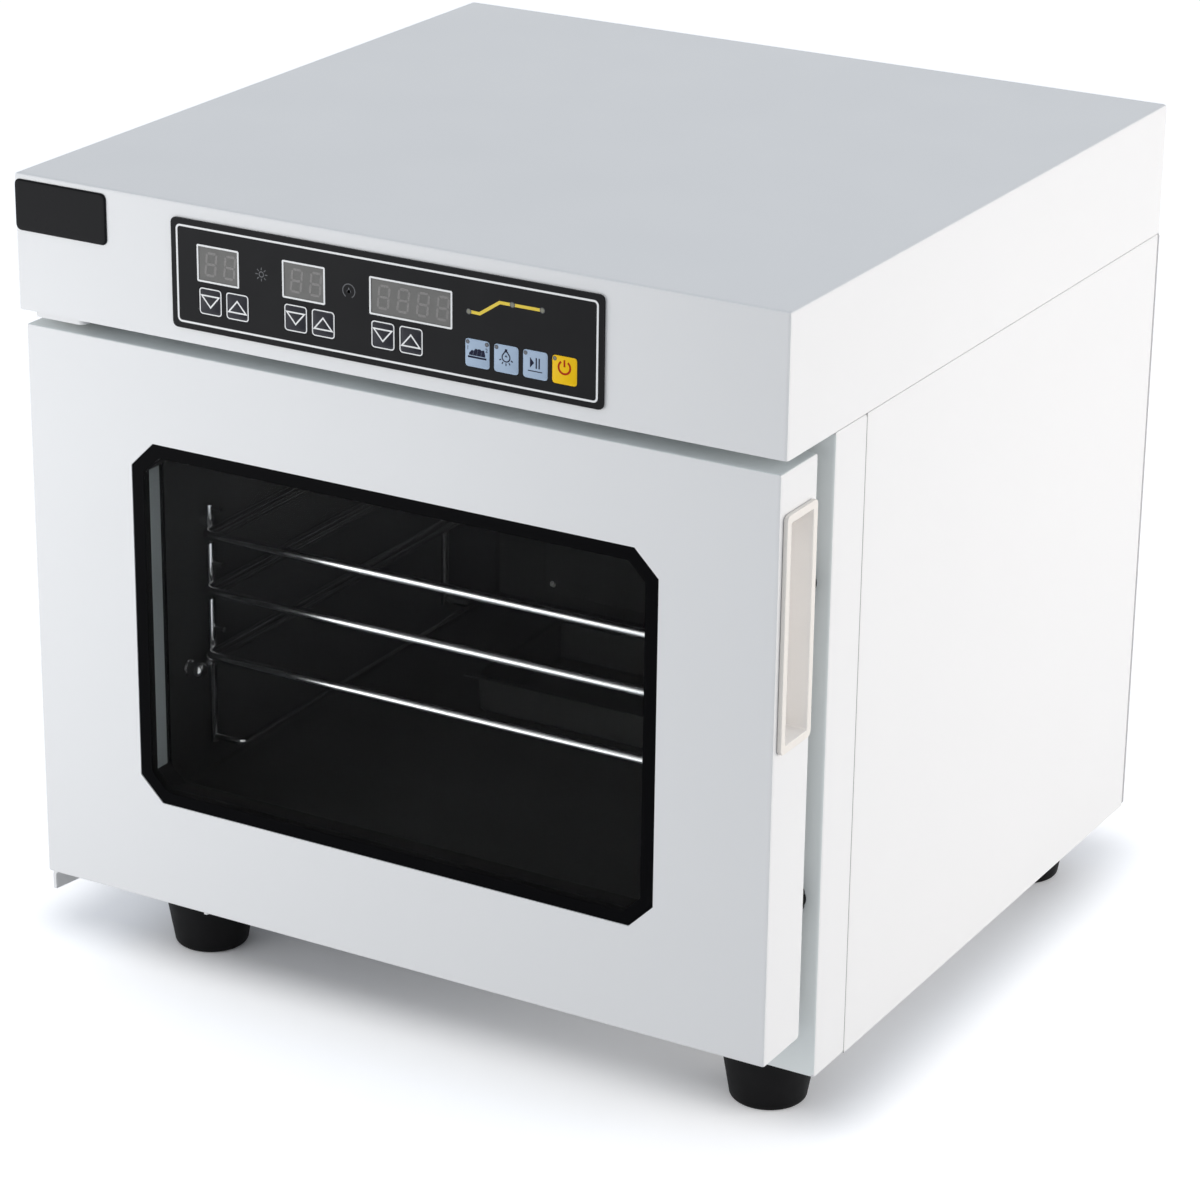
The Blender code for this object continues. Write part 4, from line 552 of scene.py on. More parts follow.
def loft(bm, loops):
    """Join loops of as many points each into a closed form, with a face at each end."""
    rings = [[bm.verts.new(point) for point in loop] for loop in loops]
    count = len(rings[0])
    for low, high in zip(rings, rings[1:]):
        for i in range(count):
            bm.faces.new((low[i], low[(i + 1) % count], high[(i + 1) % count], high[i]))
    bm.faces.new(rings[0])
    bm.faces.new(rings[-1])


def turned(name, profile, centre, steps):
    """Turn a profile of (radius, height) about an upright axis; poles are single points."""
    bm = bmesh.new()
    rings = []
    for radius, height in profile:
        if radius < MERGE:
            rings.append([bm.verts.new((centre[0], centre[1], centre[2] + height))])
        else:
            angles = [2 * math.pi * i / steps for i in range(steps)]
            rings.append([bm.verts.new((centre[0] + radius * math.cos(a),
                                        centre[1] + radius * math.sin(a), centre[2] + height))
                          for a in angles])
    for low, high in zip(rings, rings[1:]):
        for i in range(steps):
            j = (i + 1) % steps
            corners = (low[i % len(low)], low[j % len(low)],
                       high[j % len(high)], high[i % len(high)])
            bm.faces.new(list(dict.fromkeys(corners)))
    return mesh_piece(name, bm, SOFT_TURN)


def arc(centre, radius, start, end, steps):
    """Points of an arc, in degrees, both ends included."""
    angles = [math.radians(start + (end - start) * i / steps) for i in range(steps + 1)]
    return [(centre[0] + radius * math.cos(a), centre[1] + radius * math.sin(a)) for a in angles]


def rounded(centre, width, height, radius, steps=5):
    """Points of a rectangle with round corners."""
    x, z = width / 2 - radius, height / 2 - radius
    points = []
    for corner, (across, up) in enumerate(((x, z), (-x, z), (-x, -z), (x, -z))):
        points += arc((centre[0] + across, centre[1] + up), radius, 90 * corner, 90 * corner + 90,
                      steps)
    return points


# Camera, floor and light

def make_camera():
    """The camera of the photograph's view."""
    data = bpy.data.cameras.new("camera")
    data.lens = CAMERA_LENS
    data.sensor_width = CAMERA_SENSOR
    data.sensor_fit = "HORIZONTAL"
    data.clip_end = CAMERA_REACH
    camera = bpy.data.objects.new("camera", data)
    camera.location = CAMERA_PLACE
    camera.rotation_euler = Euler([math.radians(turn) for turn in CAMERA_TURN])
    bpy.context.scene.collection.objects.link(camera)
    bpy.context.scene.camera = camera


def seen_rays(tree):
    """One where a ray comes straight from the camera, a mirror or a glass."""
    rays = add(tree, "LightPath").outputs
    shown = sum_up(tree, "MAXIMUM", rays["Is Camera Ray"], rays["Is Transmission Ray"])
    return sum_up(tree, "MAXIMUM", shown, rays["Is Glossy Ray"])


def fade(tree, value, start, end, low, high):
    """Run a value smoothly between two ends."""
    ramp = add(tree, "MapRange", interpolation_type="SMOOTHSTEP")
    tree.links.new(value, ramp.inputs["Value"])
    for label, number in (("From Min", start), ("From Max", end)):
        ramp.inputs[label].default_value = number
    for label, number in (("To Min", low), ("To Max", high)):
        if isinstance(number, float):
            ramp.inputs[label].default_value = number
        else:
            tree.links.new(number, ramp.inputs[label])
    return ramp.outputs["Result"]


def painted_floor_light(tree):
    """Painted light on the floor: a glow that rises away from the cabinet and along its right side,
    so that its shadow stays short.
    """
    turn, split = add(tree, "Mapping", vector_type="TEXTURE"), add(tree, "SeparateXYZ")
    turn.inputs["Location"].default_value = (*GLOW_MIDDLE, 0.0)
    turn.inputs["Rotation"].default_value = (0.0, 0.0, GLOW_TURN)
    tree.links.new(add(tree, "TexCoord").outputs["Object"], turn.inputs["Vector"])
    tree.links.new(turn.outputs[0], split.inputs[0])
    beyond = []
    for axis in (0, 1):
        off = sum_up(tree, "ABSOLUTE", split.outputs[axis], 0.0)
        beyond.append(sum_up(tree, "MAXIMUM", sum_up(tree, "SUBTRACT", off, GLOW_HALF[axis]), 0.0))
    squares = [sum_up(tree, "MULTIPLY", off, off) for off in beyond]
    away = sum_up(tree, "SQRT", sum_up(tree, "ADD", *squares), 0.0)
    right = fade(tree, split.outputs[0], *RIGHT_FADE, 0.0, RIGHT_GLOW)
    return fade(tree, away, 0.0, GLOW_FADE, right, FLOOR_GLOW)


def make_floor():
    """A pale floor with painted light round the cabinet, which cuts its shadow short."""
    mesh = bpy.data.meshes.new("floor")
    half = FLOOR_SIZE / 2
    corners = [(-half, -half, 0.0), (half, -half, 0.0), (half, half, 0.0), (-half, half, 0.0)]
    mesh.from_pydata(corners, [], [(0, 1, 2, 3)])
    floor = new_piece("floor", mesh)
    material = bpy.data.materials.new("pale_floor")
    material.use_nodes = True
    tree = material.node_tree
    tree.nodes.remove(tree.nodes["Principled BSDF"])
    bounce, shown, glow = add(tree, "BsdfDiffuse"), add(tree, "BsdfDiffuse"), add(tree, "Emission")
    both, mix = add(tree, "AddShader"), add(tree, "MixShader")
    bounce.inputs["Color"].default_value = (*FLOOR_BOUNCE, 1.0)
    shown.inputs["Color"].default_value = (*FLOOR_SHOWN, 1.0)
    glow.inputs["Color"].default_value = (*WHITE, 1.0)
    tree.links.new(painted_floor_light(tree), glow.inputs["Strength"])
    tree.links.new(shown.outputs[0], both.inputs[0])
    tree.links.new(glow.outputs[0], both.inputs[1])
    tree.links.new(seen_rays(tree), mix.inputs[0])
    tree.links.new(bounce.outputs[0], mix.inputs[1])
    tree.links.new(both.outputs[0], mix.inputs[2])
    tree.links.new(mix.outputs[0], tree.nodes["Material Output"].inputs["Surface"])
    mesh.materials.append(material)


def make_world():
    """A soft sky for the light, plain white where it is seen."""
    world = bpy.data.worlds.new("studio")
    bpy.context.scene.world = world
    world.use_nodes = True
    tree = world.node_tree
    light = tree.nodes["Background"]
    split, ramp = add(tree, "SeparateXYZ"), add(tree, "ValToRGB")
    tree.links.new(add(tree, "TexCoord").outputs["Generated"], split.inputs[0])
    tree.links.new(split.outputs["Z"], ramp.inputs[0])
    ramp.color_ramp.elements[0].color = (*HORIZON, 1.0)
    ramp.color_ramp.elements[0].position = SKY_START
    ramp.color_ramp.elements[1].color = (*ZENITH, 1.0)
    tree.links.new(ramp.outputs[0], light.inputs["Color"])
    white, mix = add(tree, "Background"), add(tree, "MixShader")
    white.inputs["Color"].default_value = (*WHITE, 1.0)
    tree.links.new(seen_rays(tree), mix.inputs[0])
    tree.links.new(light.outputs[0], mix.inputs[1])
    tree.links.new(white.outputs[0], mix.inputs[2])
    tree.links.new(mix.outputs[0], tree.nodes["World Output"].inputs["Surface"])


def make_lamp(name, place, target, size, power, colour):
    """A large soft panel that faces a point."""
    data = bpy.data.lights.new(name, "AREA")
    data.shape = "RECTANGLE"
    data.size, data.size_y = size
    data.energy = power
    data.color = colour
    lamp = bpy.data.objects.new(name, data)
    lamp.location = place
    lamp.rotation_euler = (Vector(target) - Vector(place)).to_track_quat("-Z", "Y").to_euler()
    bpy.context.scene.collection.objects.link(lamp)


bpy.context.scene.view_settings.view_transform = "Standard"
make_camera()
make_floor()
make_world()
for lamp in LAMPS:
    make_lamp(*lamp)


# Printing on the control film

def lay_ring(bm, outer, inner, front):
    """Faces between two closed lines of as many points."""
    out = [bm.verts.new((x, front, z)) for x, z in outer]
    inn = [bm.verts.new((x, front, z)) for x, z in inner]
    count = len(out)
    for i in range(count):
        j = (i + 1) % count
        bm.faces.new((out[i], out[j], inn[j], inn[i]))


def lay_band(bm, points, width, front, closed=True):
    """A band of even width along a line of points."""
    points = [Vector(point) for point in points]
    count = len(points)
    sides = []
    for i, point in enumerate(points):
        ways = []
        if closed or i:
            ways.append((point - points[i - 1]).normalized())
        if closed or i < count - 1:
            ways.append((points[(i + 1) % count] - point).normalized())
        ahead = (ways[0] + ways[-1]).normalized()
        across = Vector((-ahead.y, ahead.x))
        square = Vector((-ways[0].y, ways[0].x))
        reach = width / 2 / max(across.dot(square), SHARPEST_MITRE)
        sides.append((point + across * reach, point - across * reach))
    rows = [[bm.verts.new((spot.x, front, spot.y)) for spot in pair] for pair in sides]
    for i in range(count if closed else count - 1):
        j = (i + 1) % count
        bm.faces.new((rows[i][0], rows[j][0], rows[j][1], rows[i][1]))


def lay_patch(bm, points, front):
    """One filled shape."""
    bm.faces.new([bm.verts.new((x, front, z)) for x, z in points])


def print_piece(name, marks, front, material, body, slot="black_film"):
    """Raise flat marks into thin ink; each mark is (kind, points, width, closed)."""
    bm = bmesh.new()
    for kind, points, *rest in marks:
        if kind == "band":
            lay_band(bm, points, rest[0], front - INK, *rest[1:])
        elif kind == "ring":
            lay_ring(bm, points, rest[0], front - INK)
        else:
            lay_patch(bm, points, front - INK)
    grown = bmesh.ops.extrude_face_region(bm, geom=list(bm.faces))["geom"]
    bmesh.ops.translate(bm, vec=(0.0, INK + INK_SINK, 0.0),
                        verts=[part for part in grown if isinstance(part, bmesh.types.BMVert)])
    return settle(mesh_piece(name, bm), material, body, slot=slot)


def shifted(points, x, z):
    """Points moved across and up."""
    return [(across + x, up + z) for across, up in points]


def circle(centre, radius):
    """Points of a whole circle."""
    return arc(centre, radius, 0, 360 - 360 / DISC_STEPS, DISC_STEPS - 1)


def discs(centres, radius):
    """Filled discs of one size."""
    return [("patch", circle(centre, radius)) for centre in centres]


def ray_marks(x, z, turns, near, far, width):
    """Short lines that point away from a middle, at turns in degrees."""
    marks = []
    for turn in turns:
        across, up = math.cos(math.radians(turn)), math.sin(math.radians(turn))
        marks.append(("band", [(x + across * reach, z + up * reach) for reach in (near, far)],
                      width, False))
    return marks


FILM_LOW, FILM_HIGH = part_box("control_fascia")
FILM_FRONT = FILM_LOW.y
FILM_MIDDLE = ((FILM_LOW.x + FILM_HIGH.x) / 2, (FILM_LOW.z + FILM_HIGH.z) / 2)
FILM_SIZE = (FILM_HIGH.x - FILM_LOW.x, FILM_HIGH.z - FILM_LOW.z)
DISPLAYS = {"temperature_display": 2, "humidity_display": 2, "timer_display": 4}
BORDER_INSET = 0.0038
BORDER_LINE = 0.0011
BORDER_CORNER = 0.0022
WINDOW_LINE = 0.0010
WINDOW_REACH = 0.0007
WINDOW_CORNER = 0.0003
PHASE_LINE = ((0.0525, 0.0087), (0.0589, 0.0085), (0.0707, 0.0164), (0.0780, 0.0164),
              (0.0957, 0.0164))
PHASE_WIDTH = 0.0017
PHASE_DOTS = ((0.0525, 0.0087), (0.0782, 0.0164), (0.0957, 0.0164))
DOT_RADIUS = 0.00115
DOT_RIM_WIDTH = 0.0004
SEGMENT_WIDTH = 0.0014
SEGMENT_GAP = 0.35
DIGIT_WIDTH = 0.0061
DIGIT_HEIGHT = 0.0121
DIGIT_SLANT = 0.105
DIGIT_PITCH = 0.0119
DIGIT_SHIFT = 0.0014


def print_film():
    """The border line, the window frames, the phase line and the unlit symbols."""
    marks = [("band", rounded(FILM_MIDDLE, FILM_SIZE[0] - 2 * BORDER_INSET,
                              FILM_SIZE[1] - 2 * BORDER_INSET, BORDER_CORNER), BORDER_LINE)]
    for display in DISPLAYS:
        low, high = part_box(display)
        middle = ((low.x + high.x) / 2, (low.z + high.z) / 2)
        grow = 2 * WINDOW_REACH - WINDOW_LINE
        width, height = high.x - low.x + grow, high.z - low.z + grow
        marks.append(("band", rounded(middle, width, height, WINDOW_CORNER, 1), WINDOW_LINE))
    print_piece("film_white_lines", marks, FILM_FRONT, WHITE_INK, "cabinet")
    line = shifted(PHASE_LINE, *FILM_MIDDLE)
    print_piece("film_phase_line", [("band", line, PHASE_WIDTH, False)], FILM_FRONT, YELLOW_INK,
                "cabinet")
    dots = shifted(PHASE_DOTS, *FILM_MIDDLE)
    print_piece("film_phase_rims", discs(dots, DOT_RADIUS + DOT_RIM_WIDTH), FILM_FRONT - INK,
                DOT_RIM, "cabinet")
    print_piece("film_phase_dots", discs(dots, DOT_RADIUS), FILM_FRONT - 2 * INK, OLIVE_DOT,
                "cabinet")
    print_piece("film_unlit_symbols", heat_marks() + drop_marks(), FILM_FRONT, DEAD_INK, "cabinet")


HEAT_PLACE = (-0.0743, 0.0075)
DROP_PLACE = (-0.0200, 0.0075)
SYMBOL_LINE = 0.0005


def heat_marks():
    """A small sun: a disc with eight rays."""
    x, z = FILM_MIDDLE[0] + HEAT_PLACE[0], FILM_MIDDLE[1] + HEAT_PLACE[1]
    return [("band", circle((x, z), 0.0014), SYMBOL_LINE),
            *ray_marks(x, z, range(0, 360, 45), 0.0023, 0.0037, SYMBOL_LINE)]


def drop_marks():
    """A drop inside a broken ring."""
    x, z = FILM_MIDDLE[0] + DROP_PLACE[0], FILM_MIDDLE[1] + DROP_PLACE[1]
    drop = arc((x, z - 0.0006), 0.0013, 200, -20, 12) + [(x, z + 0.0021)]
    return [("band", arc((x, z), 0.0037, -60, 240, 30), SYMBOL_LINE, False), ("patch", drop)]


def segment(start, end):
    """One segment's outline, as (along, aside), with pointed ends and a gap at each."""
    thick = SEGMENT_WIDTH / 2
    start, end = start + SEGMENT_GAP * thick, end - SEGMENT_GAP * thick
    return [(start, 0.0), (start + thick, thick), (end - thick, thick), (end, 0.0),
            (end - thick, -thick), (start + thick, -thick)]


def digit_marks(x, z):
    """The seven segments of one slanted digit."""
    half, tall = DIGIT_WIDTH / 2, DIGIT_HEIGHT / 2
    marks = [[(along, up + aside) for along, aside in segment(-half, half)]
             for up in (-tall, 0.0, tall)]
    marks += [[(across + aside, along) for along, aside in segment(low, low + tall)]
              for across in (-half, half) for low in (-tall, 0.0)]
    return [("patch", [(x + across + up * DIGIT_SLANT, z + up) for across, up in mark])
            for mark in marks]


def print_displays():
    """Unlit digits behind the display windows."""
    for display, digits in DISPLAYS.items():
        low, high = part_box(display)
        middle = (low.x + high.x) / 2 + DIGIT_SHIFT
        marks = []
        for digit in range(digits):
            marks += digit_marks(middle + DIGIT_PITCH * (digit - (digits - 1) / 2),
                                 (low.z + high.z) / 2)
        print_piece(display + "_digits", marks, low.y, GHOST_INK, "cabinet", "display_face")


print_film()
print_displays()


# Keys

KEY_LINE = 0.00062
KEY_LINE_INSET = 0.00045
PAD_INSET = 0.00165
PAD_RISE = 0.00016
PAD_EDGE = 0.00012
PAD_CORNER = 0.0010
FULL_PAD_SHARE = 0.35
KEY_LINE_CORNER = 0.0016
TRIANGLE_HALF = 0.0055
TRIANGLE_HEIGHT = 0.0063
TRIANGLE_LINE = 0.00080
KEY_LAMP_PLACE = (0.0015, 0.0017)
KEY_LAMP_RIM = 0.00112
KEY_LAMP_RADIUS = 0.00078
SYMBOL_RISE = 0.0010
POWER_RISE = 0.0016
NUMBER_SIZE = 0.0031
NUMBER_INSET = 0.0016
NUMBER_RISE = 0.0025
# The loaf's cuts across, the heights of its crust at them, and how far a cut leans
LOAF_CUTS = (-0.0048, -0.0026, -0.0002, 0.0022, 0.0048)
LOAF_TOPS = (0.0006, 0.0021, 0.0031, 0.0028, 0.0008)
LOAF_SLOPE = 0.0006
LOAF_GAP = 0.00006


def key_face(node):
    """A key's middle, its width, its height and its front."""
    low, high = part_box(node)
    return ((low.x + high.x) / 2, (low.z + high.z) / 2, high.x - low.x, high.z - low.z, low.y)


def raise_pad(node, inset, material):
    """The pad that stands a little proud of a key."""
    x, z, width, height, front = key_face(node)
    bm = bmesh.new()
    loops = []
    for back, shrink in ((INK_SINK, 0.0), (-PAD_RISE * 0.5, 0.0), (-PAD_RISE, PAD_EDGE)):
        outline = rounded((x, z), width - 2 * (inset + shrink), height - 2 * (inset + shrink),
                          PAD_CORNER)
        loops.append([(across, front + back, up) for across, up in outline])
    loft(bm, loops)
    settle(mesh_piece(node + "_pad", bm, SOFT_TURN), material, BODY_OF[node], slot=SLOT_OF[node])


def dress_arrow_key(node, upward):
    """A dark key with its white outline and triangle."""
    x, z, width, height, front = key_face(node)
    outline = rounded((x, z), width - 2 * KEY_LINE_INSET, height - 2 * KEY_LINE_INSET,
                      KEY_LINE_CORNER)
    print_piece(node + "_outline", [("band", outline, KEY_LINE)], front, WHITE_INK, BODY_OF[node],
                SLOT_OF[node])
    raise_pad(node, PAD_INSET, MATERIALS["dark_key"])
    tip = TRIANGLE_HEIGHT / 2 if upward else -TRIANGLE_HEIGHT / 2
    triangle = [(x - TRIANGLE_HALF, z - tip), (x + TRIANGLE_HALF, z - tip), (x, z + tip)]
    print_piece(node + "_triangle", [("band", triangle, TRIANGLE_LINE)], front - PAD_RISE,
                WHITE_INK, BODY_OF[node], SLOT_OF[node])


def dress_function_key(node, marks, ink, lamps, dot):
    """A coloured key with its symbol and its small lamps."""
    x, z, width, height, front = key_face(node)
    raise_pad(node, PAD_INSET * FULL_PAD_SHARE, MATERIALS[SLOT_OF[node]])
    face = front - PAD_RISE
    print_piece(node + "_symbol", marks(x, z), face, ink, BODY_OF[node], SLOT_OF[node])
    spots = [(x + side * (width / 2 - KEY_LAMP_PLACE[0]), z + height / 2 - KEY_LAMP_PLACE[1])
             for side in lamps]
    print_piece(node + "_lamp_rims", discs(spots, KEY_LAMP_RIM), face, DOT_RIM, BODY_OF[node],
                SLOT_OF[node])
    print_piece(node + "_lamps", discs(spots, KEY_LAMP_RADIUS), face - INK, dot, BODY_OF[node],
                SLOT_OF[node])


def loaf_marks(x, z):
    """A loaf with three cuts on a board."""
    base = z - 0.0004
    marks = [("band", [(x - 0.0055, z - 0.0021), (x + 0.0055, z - 0.0021)], 0.0010, False)]
    for i in range(4):
        left, right = LOAF_CUTS[i] + LOAF_GAP, LOAF_CUTS[i + 1] - LOAF_GAP
        start, end = LOAF_TOPS[i], LOAF_TOPS[i + 1]
        slice_of = [(left, -0.0008), (right, -0.0008), (right + LOAF_SLOPE * (i < 3), end - 0.0004),
                    ((left + right) / 2 + LOAF_SLOPE, max(start, end)),
                    (left + LOAF_SLOPE * (i > 0), start - 0.0002)]
        marks.append(("patch", shifted(slice_of, x, base)))
    return marks


def bulb_marks(x, z):
    """A hanging bulb with rays below it."""
    z += SYMBOL_RISE
    neck = shifted([(0.0007, 0.0030), (-0.0007, 0.0030)], x, z)
    cap = [(-0.0007, 0.0031), (0.0007, 0.0031), (0.0007, 0.0044), (-0.0007, 0.0044)]
    wire = [(-0.0006, 0.0002), (0.0, 0.0010), (0.0006, 0.0002)]
    return [("band", arc((x, z), 0.0023, 130, 410, 26) + neck, 0.00065),
            ("patch", shifted(cap, x, z)), ("band", shifted(wire, x, z), 0.00045, False),
            *ray_marks(x, z, (205, 237, 270, 303, 335), 0.0031, 0.0044, 0.00058)]


def play_marks(x, z):
    """A play triangle, two bars and a line below."""
    z += SYMBOL_RISE
    tall = 0.0028
    marks = [("patch", shifted([(-0.0030, -tall), (-0.0006, 0.0), (-0.0030, tall)], x, z))]
    for bar in (0.0007, 0.0024):
        marks.append(("band", shifted([(bar, -tall), (bar, tall)], x, z), 0.00075, False))
    line = shifted([(-0.0042, -0.0044), (0.0042, -0.0044)], x, z)
    return [*marks, ("band", line, SYMBOL_LINE, False)]


def power_marks(x, z):
    """A broken ring with a bar in its gap."""
    z += POWER_RISE
    return [("band", arc((x, z), 0.0034, 125, 415, 36), 0.00110, False),
            ("band", [(x, z + 0.0003), (x, z + 0.0040)], 0.00100, False)]


def number_marks(node, word, side):
    """A small plain number on a key, as a mesh that is placed after it is made."""
    x, z, width, _, front = key_face(node)
    text = bpy.data.curves.new(node + "_number_" + word, "FONT")
    text.body, text.size, text.extrude = word, NUMBER_SIZE, INK / 2
    text.align_x = text.align_y = "CENTER"
    thing = bpy.data.objects.new(node + "_number_" + word, text)
    bpy.context.scene.collection.objects.link(thing)
    piece = baked(thing)
    for vert in piece.data.vertices:
        across, up, out = vert.co
        vert.co = (x + side * (width / 2 - NUMBER_INSET) + across,
                   front - PAD_RISE - INK / 2 - out, z + NUMBER_RISE + up)
    settle(piece, NAVY_INK, BODY_OF[node], slot=SLOT_OF[node])


for word in ("temperature", "humidity", "time"):
    dress_arrow_key(word + "_down_key", False)
    dress_arrow_key(word + "_up_key", True)
dress_function_key("ferment_key", loaf_marks, NAVY_INK, (-1, 1), LAMP_DOT)
dress_function_key("lighting_key", bulb_marks, NAVY_INK, (-1,), LAMP_DOT)
dress_function_key("start_pause_key", play_marks, NAVY_INK, (-1,), LAMP_DOT)
dress_function_key("power_key", power_marks, RED_INK, (-1,), OLIVE_DOT)
number_marks("ferment_key", "1", -1)
number_marks("ferment_key", "2", 1)


# Badge plate on the hood

BADGE_MIDDLE = (-0.2040, 0.4667)
BADGE_SIZE = (0.0600, 0.0285)
BADGE_RISE = 0.0012
BADGE_EDGE = 0.0009
BADGE_CORNER = 0.0032
# The plate's edge: the share of its rise, and of its edge width, at each step
BADGE_PROFILE = ((0.0, 0.0), (0.45, 0.0), (0.75, 0.35), (0.95, 0.7), (1.0, 1.0), (1.02, 3.0))


def make_badge():
    """A bare black plate with a rounded edge at the hood's corner."""
    hood_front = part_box("hood_cover")[0].y
    bm = bmesh.new()
    loops = []
    for rise, share in BADGE_PROFILE:
        shrink = BADGE_EDGE * share
        outline = rounded(BADGE_MIDDLE, BADGE_SIZE[0] - 2 * shrink, BADGE_SIZE[1] - 2 * shrink,
                          BADGE_CORNER - shrink / 2)
        loops.append([(x, hood_front - BADGE_RISE * rise + INK_SINK, z) for x, z in outline])
    loft(bm, loops)
    settle(mesh_piece("badge_plate", bm, 30.0), BADGE_BLACK, "cabinet", slot="black_plastic")


make_badge()


# Window border

BORDER_START = 0.0001
BORDER_WIDTH = 0.0074
GLASS_CHAMFER = 0.0144
# Size and place of the grey bars of painted light on the reveal's sides
PAINTED_BAR_THICK = 0.0003
PAINTED_BAR_SINK = 0.0001
PAINTED_BAR_START = 0.0004
PAINTED_BAR_DEPTH = 0.0088
LEFT_EDGE, RIGHT_EDGE = (2, 3), (6, 7)


def octagon(low, high, shrink):
    """The window's outline, drawn in by an even width."""
    cut = GLASS_CHAMFER - shrink * (2 - math.sqrt(2))
    left, right, bottom, top = low.x + shrink, high.x - shrink, low.z + shrink, high.z - shrink
    return [(right - cut, top), (left + cut, top), (left, top - cut), (left, bottom + cut),
            (left + cut, bottom), (right - cut, bottom), (right, bottom + cut), (right, top - cut)]


def make_border():
    """The black border fired on the window glass."""
    low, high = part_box("window_glass")
    ring = ("ring", octagon(low, high, BORDER_START), octagon(low, high, BORDER_WIDTH))
    print_piece("window_border", [ring], low.y, FRIT, "door", "black_film")


def make_painted_light_bars():
    """Grey bars along the upright sides of the ring behind the glass: painted light on the reveal's
    sides.
    """
    low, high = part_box("window_glass")
    outer = octagon(low, high, BORDER_WIDTH - PAINTED_BAR_SINK)
    inner = octagon(low, high, BORDER_WIDTH + PAINTED_BAR_THICK)
    bm = bmesh.new()
    for first, second in (LEFT_EDGE, RIGHT_EDGE):
        outline = (outer[first], outer[second], inner[second], inner[first])
        ends = [[bm.verts.new((x, high.y + depth, z)) for x, z in outline]
                for depth in (PAINTED_BAR_START, PAINTED_BAR_START + PAINTED_BAR_DEPTH)]
        for end in ends:
            bm.faces.new(end)
        for i in range(4):
            j = (i + 1) % 4
            bm.faces.new((ends[0][i], ends[0][j], ends[1][j], ends[1][i]))
    settle(mesh_piece("window_painted_light_bars", bm), PAINTED_LIGHT_BAR_GREY, "door", slot="galvanised_steel")


make_border()
make_painted_light_bars()


# Feet, trays and racks

def make_feet():
    """Tapered rubber feet with a soft lower edge and a socket below."""
    for node in ("foot_front_left", "foot_front_right", "foot_back_left", "foot_back_right"):
        low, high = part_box(node)
        top, tall = (high.x - low.x) / 2, high.z
        bottom = top * FOOT_TAPER
        rim = arc((bottom - FOOT_EDGE, FOOT_EDGE), FOOT_EDGE, 0, -90, 6)
        profile = [(0.0, tall), (top - FOOT_TOP_EDGE, tall), (top, tall - FOOT_TOP_EDGE),
                   ((bottom + top) / 2, tall * FOOT_WAIST), *rim, (SOCKET_MOUTH[0], 0.0),
                   (SOCKET_RADIUS, SOCKET_MOUTH[1]), (SOCKET_RADIUS, SOCKET_DEPTH),
                   (0.0, SOCKET_DEPTH)]
        middle = ((low.x + high.x) / 2, (low.y + high.y) / 2, 0.0)
        foot = turned(node + "_finished", profile, middle, FOOT_STEPS)
        settle(foot, MATERIALS["foot_rubber"], "cabinet", (node,))


def make_trays():
    """Tray frames of round rod with smooth corners."""
    for node in ("shelf_top", "shelf_middle", "shelf_bottom"):
        low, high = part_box(node)
        x = (high.x - low.x) / 2 - TRAY_ROD
        y = (high.y - low.y) / 2 - TRAY_ROD
        middle = (low.y + high.y) / 2
        outline = rounded((0.0, middle), 2 * x, 2 * y, TRAY_CORNER, 8)
        tray = rods(node + "_finished", [[(across, along, (low.z + high.z) / 2)
                                          for across, along in outline]], TRAY_ROD, closed=True)
        settle(tray, MATERIALS["bright_rod"], BODY_OF[node], (node,))


def make_racks():
    """Ladder racks of round rod, with their pegs and stand-offs."""
    tray_levels = [(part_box(tray)[0].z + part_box(tray)[1].z) / 2
                   for tray in ("shelf_bottom", "shelf_middle", "shelf_top")]
    chamber_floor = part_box("chamber_liner")[0].z
    for node, side in (("rack_left", -1), ("rack_right", 1)):
        low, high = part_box(node)
        wall = max(abs(low.x), abs(high.x))
        upright = wall - UPRIGHT_GAP - RACK_ROD
        rung = upright - 2 * RACK_ROD + ROD_TIE
        front, back = low.y + UPRIGHT_INSET, high.y - UPRIGHT_INSET
        lines = [[(side * upright, y, z) for z in (low.z, (low.z + high.z) / 2, high.z)]
                 for y in (front, back)]
        lines += [[(side * rung, y, level - TRAY_ROD - TRAY_GAP - RACK_ROD)
                   for y in (low.y, (low.y + high.y) / 2, high.y)] for level in tray_levels]
        ledge_x = upright - LEDGE_REACH
        bends = (arc((ledge_x + LEDGE_CORNER, front + LEDGE_CORNER), LEDGE_CORNER, 270, 180, 6)
                 + arc((ledge_x + LEDGE_CORNER, back - LEDGE_CORNER), LEDGE_CORNER, 180, 90, 6))
        ledge_line = [(side * x, y, low.z + LEDGE_RISE)
                      for x, y in [(upright, front), *bends, (upright, back)]]
        pegs = [[(side * x, y, level + PEG_RISE) for x in (upright, upright - PEG_REACH)]
                for y in (front, back) for level in tray_levels]
        stands = [[(side * x, y, z) for x in (upright - ROD_TIE, wall)]
                  for y in (front, back) for z in (chamber_floor + STAND_LOW, high.z - STAND_HIGH)]
        rack = joined(node + "_finished", [
            rods(node + "_rods", lines, RACK_ROD), rods(node + "_pegs", pegs, PEG_ROD),
            rods(node + "_ledge", [ledge_line], LEDGE_ROD),
            rods(node + "_stands", stands, STAND_ROD)])
        rack.data.shade_smooth()
        rack.data.set_sharp_from_angle(angle=math.radians(RACK_TURN))
        settle(rack, MATERIALS["bright_rod"], "cabinet", (node,))


make_feet()
make_trays()
make_racks()


# Screws

